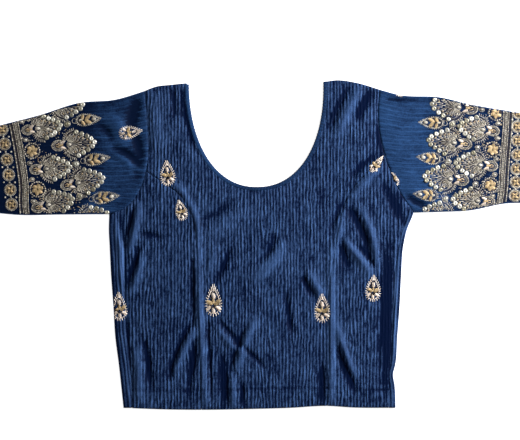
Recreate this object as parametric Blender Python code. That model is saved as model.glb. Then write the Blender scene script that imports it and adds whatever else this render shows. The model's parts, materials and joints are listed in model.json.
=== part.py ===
"""A choli blouse of crinkled navy cloth, laid flat with its seamed front upward.

The blouse lies on the plane z = 0, with +Y towards the neck. The back is the
lowest layer. It turns over at both sides and meets the side fronts along the
side seams, a little in from the folds. The front is three panels joined by
princess seams, and each sleeve is a flattened tube. All sizes below are in
millimetres, and objects are written in metres.
"""

import math

import bpy
import numpy as np
from mathutils import Vector
from mathutils.geometry import delaunay_2d_cdt

for thing in list(bpy.data.objects):
    bpy.data.objects.remove(thing, do_unlink=True)

MM = 0.001

# Cloth and how its layers lie
WALL = 1.0
FRONT_WALL = 1.2
SEAM_GAP = 0.3
FOLD_OUTER = 1.9
FOLD_INNER = FOLD_OUTER - WALL
FOLD_MIDDLE = (FOLD_OUTER + FOLD_INNER) / 2
FOLD_LENGTH = math.pi * FOLD_MIDDLE
FOLD_STEPS = 5
FRONT_Z = FOLD_OUTER + FOLD_INNER
LOWEST_FRONT = 2.4
LOFT = 1.2
LOFT_REACH = 24.0
FOLD_FADE = 8.0

# Crinkle: narrow ridges that run down the body and along the sleeves
RIDGE_PITCH = 4.4
RIDGE_HEIGHT = 1.1
LINE_STEP = RIDGE_PITCH / 2
EDGE_RIDGE = 0.3 * RIDGE_HEIGHT
CROSSED_EDGE_SHARE = 0.8
SLEEVE_RIDGES = 26
SLEEVE_RIDGE_HEIGHT = 0.7
# columns: how far a ridge wanders aside, over what length, step from line to line, start
WANDERS = [(0.6, 41.0, 0.23, 0.0), (0.35, 17.0, 0.61, 1.3)]

# Neck: a deep U, a superellipse turned a degree
NECK_WIDTH = 174.0
NECK_DEPTH = 134.7
NECK_ROUNDNESS = 2.2
NECK_BOTTOM = (-2.3, 75.8)
NECK_TURN = math.radians(1.2)
BINDING_WIDTH = 5.5
BINDING_THICK = 2.0
BACK_NECK_SET = 2.5
SHOULDER_THICK = 2.5
SHOULDER_REACH = 8.0
BACK_HEM_SHORT = 1.3
HEM_RUN = 10.0

# How closely the solids follow the smooth lines
LINE_ERROR = 0.11
NECK_ERROR = 0.25
RIDGE_ERROR = 0.27
LONGEST = 60.0
STRIP_LONGEST = 22.0
STRIP_LINES = 8
WANDER_WEIGHT = 0.4
FOLD_MATTERS = 0.05
PLAIN_EVERY = 3
EDGE_CLEAR = 1.6
LINE_CLEAR = 0.8
CORNER_CLEAR = 0.35
TRACE_STEP = 0.3
SAMPLE_STEP = 3.0
STEEP = 0.5
STRETCH = 6.0

# Body sections from the underarm to the hem, with the places across of each line
# columns: y, left fold, left side seam, right side seam, right fold
BODY_SECTIONS = [
    (60, -196.0, -174.0, 198.0, 203.0),
    (40, -196.0, -174.0, 191.5, 199.0),
    (20, -196.5, -174.5, 185.5, 191.0),
    (0, -195.5, -175.5, 180.5, 186.5),
    (-40, -193.5, -176.0, 174.5, 183.5),
    (-80, -190.5, -174.5, 172.5, 181.5),
    (-120, -188.0, -172.0, 170.5, 178.5),
    (-155, -183.5, -168.5, 168.8, 176.0),
    (-168, -182.0, -168.0, 168.2, 173.0),
    (-182, -180.5, -167.0, 167.7, 175.0),
    (-220, -176.5, -166.0, 167.0, 176.5),
]

# Smooth lines seen from above, each through a few places: across, up
PRINCESS_LEFT = [(-147, 95), (-121, 78), (-100, 60), (-88, 36), (-83, 0), (-80.5, -91), (-76, -214)]
PRINCESS_RIGHT = [(161, 113), (138, 94), (116, 68), (104, 34), (97, -8), (89, -60), (89.5, -140), (87, -209)]
ARMHOLE_LEFT = [(-150, 200), (-146, 152), (-146, 110), (-155, 75), (-174, 49), (-196, 40)]
ARMHOLE_RIGHT = [(155, 202), (153, 168), (159, 128), (170, 94), (183, 67), (199.5, 42)]
SHOULDER_LEFT = [(-97.6, 210), (-117, 208), (-134, 206), (-150, 200)]
SHOULDER_RIGHT = [(87.6, 212.6), (98, 214), (124, 211), (155, 202)]
HEM = [(-177, -211.5), (-120, -213.6), (-76, -214), (-13, -213), (39, -211.5), (87, -209), (120, -211), (176, -211.5)]
SIDE_SEAM_TOP_Y = {"left": 49.0, "right": 49.5}
UNDERARM_Y = {"left": 40.0, "right": 42.0}

# Sleeves: upper edge from the shoulder and lower edge from the underarm, to the cuff
SLEEVE_TOP_LEFT = [(-150, 200), (-188, 189), (-234, 185), (-286, 169), (-338, 155.5), (-374, 145)]
SLEEVE_LOW_LEFT = [(-196, 40), (-260, 39.5), (-312, 39), (-363, 44)]
SLEEVE_TOP_RIGHT = [(155, 202), (182, 195), (234, 192), (273, 183), (325, 174), (374, 166)]
SLEEVE_LOW_RIGHT = [(199.5, 42), (234, 43), (273, 45), (320, 54), (368, 54)]
SLEEVE_STATIONS = 9

# Largest folds and hollows of the upper layers, heights above or below the cloth around
# columns: name, from x, from y, to x, to y, bow, height, half width
FOLDS = [
    ("underarm left, on the strip", -186, 35, -177, -72, 3, 2.2, 5.5),
    ("underarm left, on the front", -161, 57, -174, -43, 4, 2.8, 5.5),
    ("left side hollow", -155, 14, -173, -61, 2, -1.3, 4.8),
    ("left seam welt, upper", -143, 98, -88, 48, 3, 1.0, 4.8),
    ("left seam welt", -83, 39, -71, -216, -3, 2.0, 5.5),
    ("left front slope", -86, -116, -117, -176, -3, 2.4, 5.5),
    ("left front hollow", -88, -98, -110, -140, -2, -1.5, 4.8),
    ("long crease", -56, -95, 10, -161, -2, -1.7, 4.8),
    ("long crease lip", -58, -103, -21, -146, -2, 1.4, 4.8),
    ("centre slope", -4, -92, -32, -166, -3, 2.4, 6.0),
    ("centre hollow", -17, -118, -35, -181, -3, -1.6, 4.8),
    ("hem hollow", -52, -139, -44, -199, 0, -1.5, 4.8),
    ("bust drape", 34, 8, -17, -49, 5, 1.8, 9.0),
    ("right centre lip", 62, -35, 81, -68, 0, 2.0, 5.5),
    ("right centre crease", 25, -98, 44, -126, 0, -1.4, 4.8),
    ("bust ray", 108, 4, 144, -40, 2, 2.6, 5.5),
    ("bust ray hollow", 118, 3, 151, -32, 2, -1.5, 4.8),
    ("outer bust ray", 126, 52, 152, -27, 6, 2.5, 5.5),
    ("outer bust hollow", 114, 49, 144, -9, 5, -1.5, 4.8),
    ("right seam welt, upper", 161, 105, 117, 58, -3, 1.2, 4.8),
    ("right seam welt", 108, 46, 93, -216, 5, 2.2, 5.5),
    ("right low ray", 99, -98, 125, -173, -3, 2.5, 5.5),
    ("right low hollow", 101, -130, 125, -191, -3, -1.6, 4.8),
    ("right side hollow", 166, 12, 164, -199, 0, -1.6, 5.0),
    ("left strap hollow", -103, 204, -94, 165, 0, -1.0, 4.8),
    ("right strap hollow", 118, 211, 88, 147, -3, -1.6, 4.8),
    ("right strap slope", 133, 207, 100, 140, -3, 2.2, 6.0),
    ("right strap outer hollow", 150, 198, 121, 150, -3, -1.6, 5.0),
    ("left sleeve rise", -192, 173, -156, 129, 4, 1.5, 10.0),
    ("left sleeve hollow", -200, 129, -156, 96, 4, -1.4, 7.0),
    ("right sleeve underarm hollow", 176, 76, 216, 56, -4, -1.2, 6.0),
]

# Colours, linear
NAVY = (0.021, 0.040, 0.105)
NAVY_SLEEVE = (0.026, 0.047, 0.120)
NAVY_BINDING = (0.030, 0.055, 0.130)
CLOTH_ROUGHNESS = 0.62


def smooth_rise(t):
    """0 below 0, 1 above 1, and a smooth rise between: 3 t squared less 2 t cubed."""
    t = np.clip(t, 0.0, 1.0)
    return t * t * (3.0 - 2.0 * t)


def lengths(line):
    """The length along a line at each of its points."""
    steps = np.linalg.norm(np.diff(line, axis=0), axis=1)
    return np.concatenate([[0.0], np.cumsum(steps)])


def through(places, step=1.0):
    """A smooth line through a few places: cubic pieces that share their slopes where they meet."""
    p = np.array(places, float)
    at = lengths(p)
    slope = np.gradient(p, at, axis=0)
    s = np.linspace(0.0, at[-1], int(at[-1] / step) + 2)
    i = np.clip(np.searchsorted(at, s, side="right") - 1, 0, len(at) - 2)
    h = (at[i + 1] - at[i])[:, None]
    t = ((s - at[i])[:, None]) / h
    start = (2 * t**3 - 3 * t**2 + 1) * p[i] + (t**3 - 2 * t**2 + t) * h * slope[i]
    end = (3 * t**2 - 2 * t**3) * p[i + 1] + (t**3 - t**2) * h * slope[i + 1]
    return start + end


def thin(line, error=LINE_ERROR, longest=LONGEST):
    """Keeps only the points that a line needs to stay within an error of itself."""
    kept = {0, len(line) - 1}
    stack = [(0, len(line) - 1)]
    while stack:
        first, last = stack.pop()
        if last - first < 2:
            continue
        part = line[first : last + 1]
        at = lengths(part)
        straight = part[0] + (at / at[-1])[:, None] * (part[-1] - part[0])
        off = np.linalg.norm(part - straight, axis=1)
        middle = int(off.argmax())
        if off[middle] < error:
            if at[-1] <= longest:
                continue
            middle = len(part) // 2
        kept.add(first + middle)
        stack += [(first, first + middle), (first + middle, last)]
    return line[sorted(kept)]


def split_at(line, place):
    """Cuts a line in two at its point nearest to a place. Both parts keep that point."""
    i = int(np.linalg.norm(line - np.array(place, float), axis=1).argmin())
    return line[: i + 1], line[i:]


def join(*lines):
    """One closed outline from lines that meet end to end, anticlockwise and without doubles."""
    points = np.concatenate(lines)
    away = np.linalg.norm(points - np.roll(points, 1, axis=0), axis=1) > 0.02
    points = points[away]
    x, y = points.T
    area = np.sum(x * np.roll(y, -1) - np.roll(x, -1) * y)
    return points if area > 0 else points[::-1]


def inset(outline, distance):
    """Moves each edge of an anticlockwise outline inward by a distance, corners mitred."""
    ahead = np.roll(outline, -1, axis=0) - outline
    ahead /= np.linalg.norm(ahead, axis=1)[:, None]
    behind = np.roll(ahead, 1, axis=0)
    normal_a = np.stack([-ahead[:, 1], ahead[:, 0]], axis=1)
    normal_b = np.stack([-behind[:, 1], behind[:, 0]], axis=1)
    both = normal_a + normal_b
    return outline + both * (2 * distance / np.maximum((both**2).sum(axis=1), 0.15))[:, None]


def offset_line(line, distance):
    """Moves each piece of a line to its left by a distance, with mitred corners."""
    ahead = np.diff(line, axis=0)
    ahead /= np.linalg.norm(ahead, axis=1)[:, None]
    first = np.concatenate([ahead[:1], ahead])
    second = np.concatenate([ahead, ahead[-1:]])
    both = np.stack([-(first + second)[:, 1], (first + second)[:, 0]], axis=1)
    return line + both * (2 * distance / (both**2).sum(axis=1))[:, None]


def inside_and_distance(points, outline):
    """Whether each point is inside an outline, and how far it is from its nearest edge."""
    a = outline
    b = np.roll(outline, -1, axis=0)
    inside, nearest = [], []
    for chunk in np.array_split(points, max(1, len(points) // 800)):
        px = chunk[:, None, 0]
        py = chunk[:, None, 1]
        edge = b - a
        t = ((px - a[:, 0]) * edge[:, 0] + (py - a[:, 1]) * edge[:, 1]) / (edge**2).sum(axis=1)
        t = np.clip(t, 0.0, 1.0)
        gap = np.hypot(px - a[:, 0] - t * edge[:, 0], py - a[:, 1] - t * edge[:, 1])
        nearest.append(gap.min(axis=1))
        spans = (a[:, 1] > py) != (b[:, 1] > py)
        rise = np.where(edge[:, 1] == 0, 1.0, edge[:, 1])
        crossing = a[:, 0] + (py - a[:, 1]) / rise * edge[:, 0]
        inside.append((spans & (px < crossing)).sum(axis=1) % 2 == 1)
    return np.concatenate(inside), np.concatenate(nearest)


def folds_at(x, y):
    """Height of the table's folds: each is a bowed line with a bell-shaped section, fading at its ends."""
    total = np.zeros(np.shape(x))
    for _, x0, y0, x1, y1, bow, height, width in FOLDS:
        run = np.array([x1 - x0, y1 - y0], float)
        length = np.hypot(*run)
        run /= length
        t = np.clip(((x - x0) * run[0] + (y - y0) * run[1]) / length, 0.0, 1.0)
        side = (y - y0) * run[0] - (x - x0) * run[1] - bow * 4 * t * (1 - t)
        total += height * np.exp(-((side / width) ** 2)) * np.sin(math.pi * t) ** 0.7
    return total


def crinkle_line(k, y):
    """Place across of crinkle line k: even spacing, with a slow wander down its length."""
    wander = sum(size * np.sin(y / over + step * k + start) for size, over, step, start in WANDERS)
    return LINE_STEP * k + wander


def crinkle_lift(k, y):
    """Height of crinkle line k: even lines are ridges of uneven height, odd lines lie between them."""
    height = RIDGE_HEIGHT * (0.78 + 0.22 * np.sin(1.9 * k)) * (0.85 + 0.15 * np.sin(y / 23 + 1.1 * k))
    return np.where(np.asarray(k) % 2 == 0, height, 0.0)


def crinkle_index(x, y):
    """Which crinkle line passes through a place, as a number with a fraction."""
    k = x / LINE_STEP
    for _ in range(3):
        k = k + (x - crinkle_line(k, y)) / LINE_STEP
    return k


def with_crinkle(outline):
    """Adds to an outline the points where crinkle lines cross it steeply, each with its height."""
    rows = []
    for a, b in zip(outline, np.roll(outline, -1, axis=0)):
        rows.append((a[0], a[1], EDGE_RIDGE))
        length = np.hypot(*(b - a))
        t = np.linspace(0.0, 1.0, int(length / TRACE_STEP) + 2)
        place = a + t[:, None] * (b - a)
        k = crinkle_index(place[:, 0], place[:, 1])
        if abs(k[-1] - k[0]) < STEEP * length / LINE_STEP:
            continue
        whole = np.arange(math.ceil(min(k[0], k[-1])), math.floor(max(k[0], k[-1])) + 1)
        order = np.argsort(k)
        where = np.interp(whole, k[order], t[order])
        for line, share in sorted(zip(whole, where), key=lambda pair: pair[1]):
            if CORNER_CLEAR < share * length < length - CORNER_CLEAR:
                x, y = a + share * (b - a)
                rows.append((x, y, CROSSED_EDGE_SHARE * float(crinkle_lift(line, y))))
    return np.array(rows)


def triangulate(outline, lines):
    """Triangles inside an outline that keep every edge of it and of the lines drawn in it."""
    points = [outline] + [line for line in lines if len(line)]
    stacked = np.concatenate(points)
    count = len(outline)
    edges = [(i, (i + 1) % count) for i in range(count)]
    start = count
    for line in points[1:]:
        edges += [(start + i, start + i + 1) for i in range(len(line) - 1)]
        start += len(line)
    flat = [Vector((x * STRETCH, y)) for x, y in stacked[:, :2]]
    found, _, faces, origin, _, _ = delaunay_2d_cdt(flat, edges, [], 1, 1e-5)
    rows = np.array([(v.x / STRETCH, v.y, 0.0) for v in found])
    place = {}
    for i, ids in enumerate(origin):
        if ids:
            rows[i] = stacked[ids[0]]
        for source in ids:
            place[source] = i
    rim = [place[i] for i in range(count)]
    triangles = np.array([tuple(face) for face in faces])
    a, b, c = (rows[triangles[:, j], :2] for j in range(3))
    turn = (b - a)[:, 0] * (c - a)[:, 1] - (b - a)[:, 1] * (c - a)[:, 0]
    triangles[turn < 0] = triangles[turn < 0][:, ::-1]
    return rows, triangles, rim


def cloth_material(name, colour):
    material = bpy.data.materials.new(name)
    material.use_nodes = True
    shader = material.node_tree.nodes["Principled BSDF"]
    shader.inputs["Base Color"].default_value = (*colour, 1.0)
    shader.inputs["Roughness"].default_value = CLOTH_ROUGHNESS
    shader.inputs["Metallic"].default_value = 0.0
    return material


def make_object(name, points, triangles, colour):
    mesh = bpy.data.meshes.new(name)
    mesh.from_pydata((np.asarray(points) * MM).tolist(), [], np.asarray(triangles).tolist())
    mesh.materials.append(cloth_material(name, colour))
    mesh.shade_smooth()
    mesh.set_sharp_from_angle(angle=math.radians(50))
    made = bpy.data.objects.new(name, mesh)
    bpy.context.scene.collection.objects.link(made)
    return made


def closed_wall(name, outline, upper_lines, lower_lines, upper_place, lower_place, colour):
    """A cloth wall: two skins over one outline, each with its own lines, joined round the rim."""
    upper, upper_faces, upper_rim = triangulate(outline, upper_lines)
    lower, lower_faces, lower_rim = triangulate(outline, lower_lines)
    points = np.concatenate([upper_place(*upper.T), lower_place(*lower.T)])
    base = len(upper)
    rim = []
    for i in range(len(outline)):
        j = (i + 1) % len(outline)
        a, b = upper_rim[i], upper_rim[j]
        c, d = lower_rim[j] + base, lower_rim[i] + base
        rim += [(a, d, c), (a, c, b)]
    faces = np.concatenate([upper_faces, lower_faces[:, ::-1] + base, np.array(rim)])
    return make_object(name, points, faces, colour)


# The lines that neighbouring pieces share
hem_line = thin(through(HEM))
princess_left = thin(through(PRINCESS_LEFT))
princess_right = thin(through(PRINCESS_RIGHT))
shoulder_left = thin(through(SHOULDER_LEFT))
shoulder_right = thin(through(SHOULDER_RIGHT))


def hem_y(x):
    return np.interp(x, hem_line[:, 0], hem_line[:, 1])


section = np.array(BODY_SECTIONS, float)[::-1]


def body_line(column, top_y):
    """One of the table's lines from the hem up to a height, as points across and up."""
    rows = through(section[:, [column, 0]])
    rows = rows[rows[:, 1] <= top_y]
    foot = hem_y(rows[:, 0])
    rows = rows[rows[:, 1] > foot + 1.0]
    first = np.array([[rows[0, 0], hem_y(rows[0, 0])]])
    return thin(np.concatenate([first, rows]))


def fold_x(column, y):
    rows = through(section[:, [column, 0]])
    return np.interp(y, rows[:, 1], rows[:, 0])


LEFT_FOLD, LEFT_SEAM, RIGHT_SEAM, RIGHT_FOLD = 1, 2, 3, 4


def armhole(places, princess_start, seam_column, seam_top):
    """An armhole in three parts: shoulder to princess seam, on to the side seam, on to the fold."""
    whole = through(places)
    upper, rest = split_at(whole, princess_start)
    seam_place = (float(fold_x(seam_column, seam_top)), seam_top)
    middle, lower = split_at(rest, seam_place)
    return thin(upper), thin(middle), thin(lower)


arm_left = armhole(ARMHOLE_LEFT, PRINCESS_LEFT[0], LEFT_SEAM, SIDE_SEAM_TOP_Y["left"])
arm_right = armhole(ARMHOLE_RIGHT, PRINCESS_RIGHT[0], RIGHT_SEAM, SIDE_SEAM_TOP_Y["right"])


def seam_from(column, corner):
    """A side seam from the hem up to the armhole's corner."""
    line = body_line(column, corner[1] - 4.0)
    return np.concatenate([line, corner[None, :]])


seam_left = seam_from(LEFT_SEAM, arm_left[2][0])
seam_right = seam_from(RIGHT_SEAM, arm_right[2][0])
princess_left[0] = arm_left[1][0]
princess_right[0] = arm_right[1][0]
princess_left[-1, 1] = hem_y(princess_left[-1, 0])
princess_right[-1, 1] = hem_y(princess_right[-1, 0])


def neck_line():
    """The neck edge from the left shoulder round to the right: a superellipse, turned about its foot."""
    angle = np.linspace(math.pi, 2 * math.pi, 721)
    c, s = np.cos(angle), np.sin(angle)
    power = 2 / NECK_ROUNDNESS
    x = NECK_WIDTH / 2 * np.sign(c) * np.abs(c) ** power
    y = NECK_DEPTH * (1 - np.abs(s) ** power)
    turn_c, turn_s = math.cos(NECK_TURN), math.sin(NECK_TURN)
    across = NECK_BOTTOM[0] + x * turn_c - y * turn_s
    up = NECK_BOTTOM[1] + x * turn_s + y * turn_c
    line = np.stack([across, up], axis=1)
    even = np.linspace(0, lengths(line)[-1], 400)
    even_line = np.stack([np.interp(even, lengths(line), line[:, i]) for i in range(2)], axis=1)
    return thin(even_line, NECK_ERROR)


neck = neck_line()


def neck_offset(distance):
    """The neck edge moved outward into the cloth."""
    return offset_line(neck, -distance)


def hem_between(x_from, x_to):
    """The hem line between two places across, from the first to the second."""
    low, high = sorted((x_from, x_to))
    inner = hem_line[(hem_line[:, 0] > low + 1) & (hem_line[:, 0] < high - 1)]
    ends = np.array([[low, hem_y(low)], [high, hem_y(high)]])
    line = np.concatenate([ends[:1], inner, ends[1:]])
    return line if x_from < x_to else line[::-1]


front_neck = neck_offset(BINDING_WIDTH + SEAM_GAP / 2)
whole_front = join(
    front_neck,
    shoulder_right,
    *arm_right[:2],
    seam_right[::-1],
    hem_between(seam_right[0, 0], seam_left[0, 0]),
    seam_left,
    arm_left[1][::-1],
    arm_left[0][::-1],
    shoulder_left[::-1],
)


def front_underside(x, y):
    """Height of the front layer's inner face: laid on the back, a little lofted, with the folds."""
    shape = np.shape(x)
    points = np.stack([np.ravel(x), np.ravel(y)], axis=1)
    inside, gap = inside_and_distance(points, whole_front)
    gap = np.where(inside, gap, 0.0).reshape(shape)
    loft = LOFT * smooth_rise(gap / LOFT_REACH)
    height = FRONT_Z + loft + folds_at(x, y) * smooth_rise(gap / FOLD_FADE)
    return np.maximum(height, LOWEST_FRONT)


def crinkle_runs(outline):
    """Each crinkle line's stretches inside an outline, thinned, with their heights and folds."""
    low, high = outline.min(axis=0), outline.max(axis=0)
    y = np.arange(low[1], high[1], SAMPLE_STEP)
    runs = []
    for k in range(int(low[0] / LINE_STEP) - 1, int(high[0] / LINE_STEP) + 2):
        x = crinkle_line(k, y)
        inside, gap = inside_and_distance(np.stack([x, y], axis=1), outline)
        free = inside & (gap > EDGE_CLEAR)
        cuts = np.flatnonzero(np.diff(free.astype(int))) + 1
        for part in np.split(np.arange(len(y)), cuts):
            if not free[part[0]]:
                continue
            px, py = x[part], y[part]
            line = np.stack([px * WANDER_WEIGHT, py, front_underside(px, py)], axis=1)
            line = thin(line, RIDGE_ERROR) / [WANDER_WEIGHT, 1.0, 1.0]
            runs.append((k, line))
    return runs


def front_panel(name, outline, colour=NAVY):
    """A front panel: its outer face has the crinkle and folds, its inner face the folds alone."""
    edge = with_crinkle(inset(outline, SEAM_GAP / 2))
    upper, lower = [], []
    for k, line in crinkle_runs(edge[:, :2]):
        x, y = line[:, 0], line[:, 1]
        upper.append(np.stack([x, y, crinkle_lift(k, y)], axis=1))
        plain = np.stack([x, y, np.zeros(len(x))], axis=1)
        if k % PLAIN_EVERY == 0:
            lower.append(plain)
        else:
            near_fold = np.abs(folds_at(x, y)) > FOLD_MATTERS
            lower += [plain[i : i + 1] for i in np.flatnonzero(near_fold)]

    def outer(x, y, lift):
        return np.stack([x, y, front_underside(x, y) + FRONT_WALL + lift], axis=1)

    def inner(x, y, lift):
        return np.stack([x, y, front_underside(x, y)], axis=1)

    return closed_wall(name, edge, upper, lower, outer, inner, colour)


front_panel(
    "front_center",
    join(
        front_neck,
        shoulder_right,
        arm_right[0],
        princess_right,
        hem_between(princess_right[-1, 0], princess_left[-1, 0]),
        princess_left[::-1],
        arm_left[0][::-1],
        shoulder_left[::-1],
    ),
)
front_panel(
    "front_side_left",
    join(
        princess_left,
        hem_between(princess_left[-1, 0], seam_left[0, 0]),
        seam_left,
        arm_left[1][::-1],
    ),
)
front_panel(
    "front_side_right",
    join(
        princess_right,
        hem_between(princess_right[-1, 0], seam_right[0, 0]),
        seam_right,
        arm_right[1][::-1],
    ),
)


def make_back():
    """The back, drawn flat and then folded over at both sides.

    Across is x on the floor layer. Past the line where a fold starts, it is
    the length of cloth from that line: round the fold, then back along the top.
    """

    def start_left(y):
        return fold_x(LEFT_FOLD, np.minimum(y, UNDERARM_Y["left"])) + FOLD_OUTER

    def start_right(y):
        return fold_x(RIGHT_FOLD, np.minimum(y, UNDERARM_Y["right"])) - FOLD_OUTER

    def flat_left(x, y):
        """Where a place on the left strip lies in the flat cut."""
        return start_left(y) - FOLD_LENGTH - (x - start_left(y))

    def flat_right(x, y):
        return start_right(y) + FOLD_LENGTH + (start_right(y) - x)

    def fold_over(u, y, radius, floor_z, top_z):
        left, right = start_left(y), start_right(y)
        past = np.maximum(np.maximum(left - u, u - right), 0.0)
        way = np.where(u < left, -1.0, 1.0)
        start = np.where(u < left, left, right)
        turn = np.clip(past / FOLD_MIDDLE, 0.0, math.pi)
        on_top = past > FOLD_LENGTH - 1e-6
        x = np.where(past > 0, start + way * radius * np.sin(turn), u)
        x = np.where(on_top, start - way * (past - FOLD_LENGTH), x)
        z = np.where(past > 0, FOLD_OUTER - radius * np.cos(turn), floor_z)
        return np.stack([x, y, np.where(on_top, top_z, z)], axis=1)

    shoulders = np.concatenate([through(SHOULDER_LEFT), through(SHOULDER_RIGHT)])

    def inner(u, y, lift):
        gap = np.hypot(u[:, None] - shoulders[:, 0], y[:, None] - shoulders[:, 1]).min(axis=1)
        thick = WALL + (SHOULDER_THICK - WALL) * smooth_rise(1.0 - gap / SHOULDER_REACH)
        return fold_over(u, y, FOLD_INNER, thick, FRONT_Z)

    def outer(u, y, lift):
        folded = fold_over(u, y, FOLD_OUTER, 0.0, 0.0)
        x = folded[:, 0]
        seam_gap = np.minimum(np.abs(x - fold_x(LEFT_SEAM, y)), np.abs(x - fold_x(RIGHT_SEAM, y)))
        edge_gap = np.minimum(np.abs(x - start_left(y)), np.abs(x - start_right(y)))
        welt = folds_at(x, y) * smooth_rise(np.minimum(seam_gap, edge_gap) / (FOLD_FADE / 2))
        top = FRONT_Z + WALL + np.maximum(lift + welt, 0.0)
        return fold_over(u, y, FOLD_OUTER, 0.0, top)

    turns = np.linspace(0.0, FOLD_LENGTH, FOLD_STEPS + 1)
    hem_left, hem_right = seam_left[0, 1], seam_right[0, 1]
    left_foot = start_left(hem_left)
    right_foot = start_right(hem_right)
    floor_hem = hem_between(left_foot + HEM_RUN, right_foot - HEM_RUN) + [0, BACK_HEM_SHORT]
    hem = np.concatenate(
        [
            [[flat_left(seam_left[0, 0], hem_left), hem_left]],
            [[left_foot - turn, hem_left] for turn in turns[::-1]],
            floor_hem,
            [[right_foot + turn, hem_right] for turn in turns],
            [[flat_right(seam_right[0, 0], hem_right), hem_right]],
        ]
    )
    left_top = arm_left[2][-1, 1]
    right_top = arm_right[2][-1, 1]

    def over_fold(arm, flat, start, way, top):
        """The armhole's lower part on the strip, then round the fold, then back on the floor."""
        strip = arm[way * (start(arm[:, 1]) - arm[:, 0]) > LINE_CLEAR]
        on_top = np.stack([flat(strip[:, 0], strip[:, 1]), strip[:, 1]], axis=1)
        reach = way * FOLD_OUTER * np.sin(turns / FOLD_MIDDLE)
        bend_y = np.interp(start(top) + reach, *arm[np.argsort(arm[:, 0])].T)
        bend = np.stack([start(bend_y) + way * turns, bend_y], axis=1)[::-1]
        return on_top, bend, strip[::-1]

    left_parts = over_fold(arm_left[2], flat_left, start_left, -1, left_top)
    right_parts = over_fold(arm_right[2], flat_right, start_right, 1, right_top)
    strip_seam_left = np.stack([flat_left(seam_left[:, 0], seam_left[:, 1]), seam_left[:, 1]], axis=1)
    strip_seam_right = np.stack([flat_right(seam_right[:, 0], seam_right[:, 1]), seam_right[:, 1]], axis=1)
    back_neck = neck_offset(BACK_NECK_SET + BINDING_WIDTH + SEAM_GAP / 2)
    outline = join(
        hem,
        strip_seam_right[1:],
        *right_parts,
        arm_right[1][::-1],
        arm_right[0][::-1],
        shoulder_right[::-1][:-1],
        back_neck[::-1],
        shoulder_left[1:],
        arm_left[0],
        arm_left[1],
        left_parts[2][::-1],
        left_parts[1][::-1],
        left_parts[0][::-1],
        strip_seam_left[1:-1][::-1],
    )
    edge = inset(outline, SEAM_GAP / 2)
    edge = np.concatenate([edge, np.full((len(edge), 1), EDGE_RIDGE)], axis=1)

    fold_lines, strip_lines = [], []
    y = np.arange(min(hem_left, hem_right), max(SIDE_SEAM_TOP_Y.values()), SAMPLE_STEP)
    for start, way in ((start_left, -1), (start_right, 1)):
        for turn in turns:
            fold_lines += clear_runs(start(y) + way * turn, y, edge[:, :2], LINE_CLEAR)
        for j in range(1, STRIP_LINES + 1):
            u = start(y) + way * (FOLD_LENGTH + LINE_STEP * j)
            for run in clear_runs(u, y, edge[:, :2], LINE_CLEAR, STRIP_LONGEST):
                run[:, 2] = crinkle_lift(j + 1, run[:, 1])
                strip_lines.append(run)
    shoulder_rows = []
    for drop in (SHOULDER_REACH / 2, SHOULDER_REACH):
        for line in (through(SHOULDER_LEFT), through(SHOULDER_RIGHT)):
            shoulder_rows += clear_runs(line[:, 0], line[:, 1] - drop, edge[:, :2], LINE_CLEAR)
    closed_wall("back", edge, fold_lines + shoulder_rows, fold_lines + strip_lines, inner, outer, NAVY)


def clear_runs(x, y, outline, clear, longest=LONGEST):
    """The stretches of a line that lie inside an outline and clear of it, thinned, with no height."""
    inside, gap = inside_and_distance(np.stack([x, y], axis=1), outline)
    free = inside & (gap > clear)
    cuts = np.flatnonzero(np.diff(free.astype(int))) + 1
    runs = []
    for part in np.split(np.arange(len(x)), cuts):
        if free[part[0]] and len(part) > 1:
            line = thin(np.stack([x[part], y[part]], axis=1), LINE_ERROR, longest)
            runs.append(np.concatenate([line, np.zeros((len(line), 1))], axis=1))
    return runs


make_back()


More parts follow.
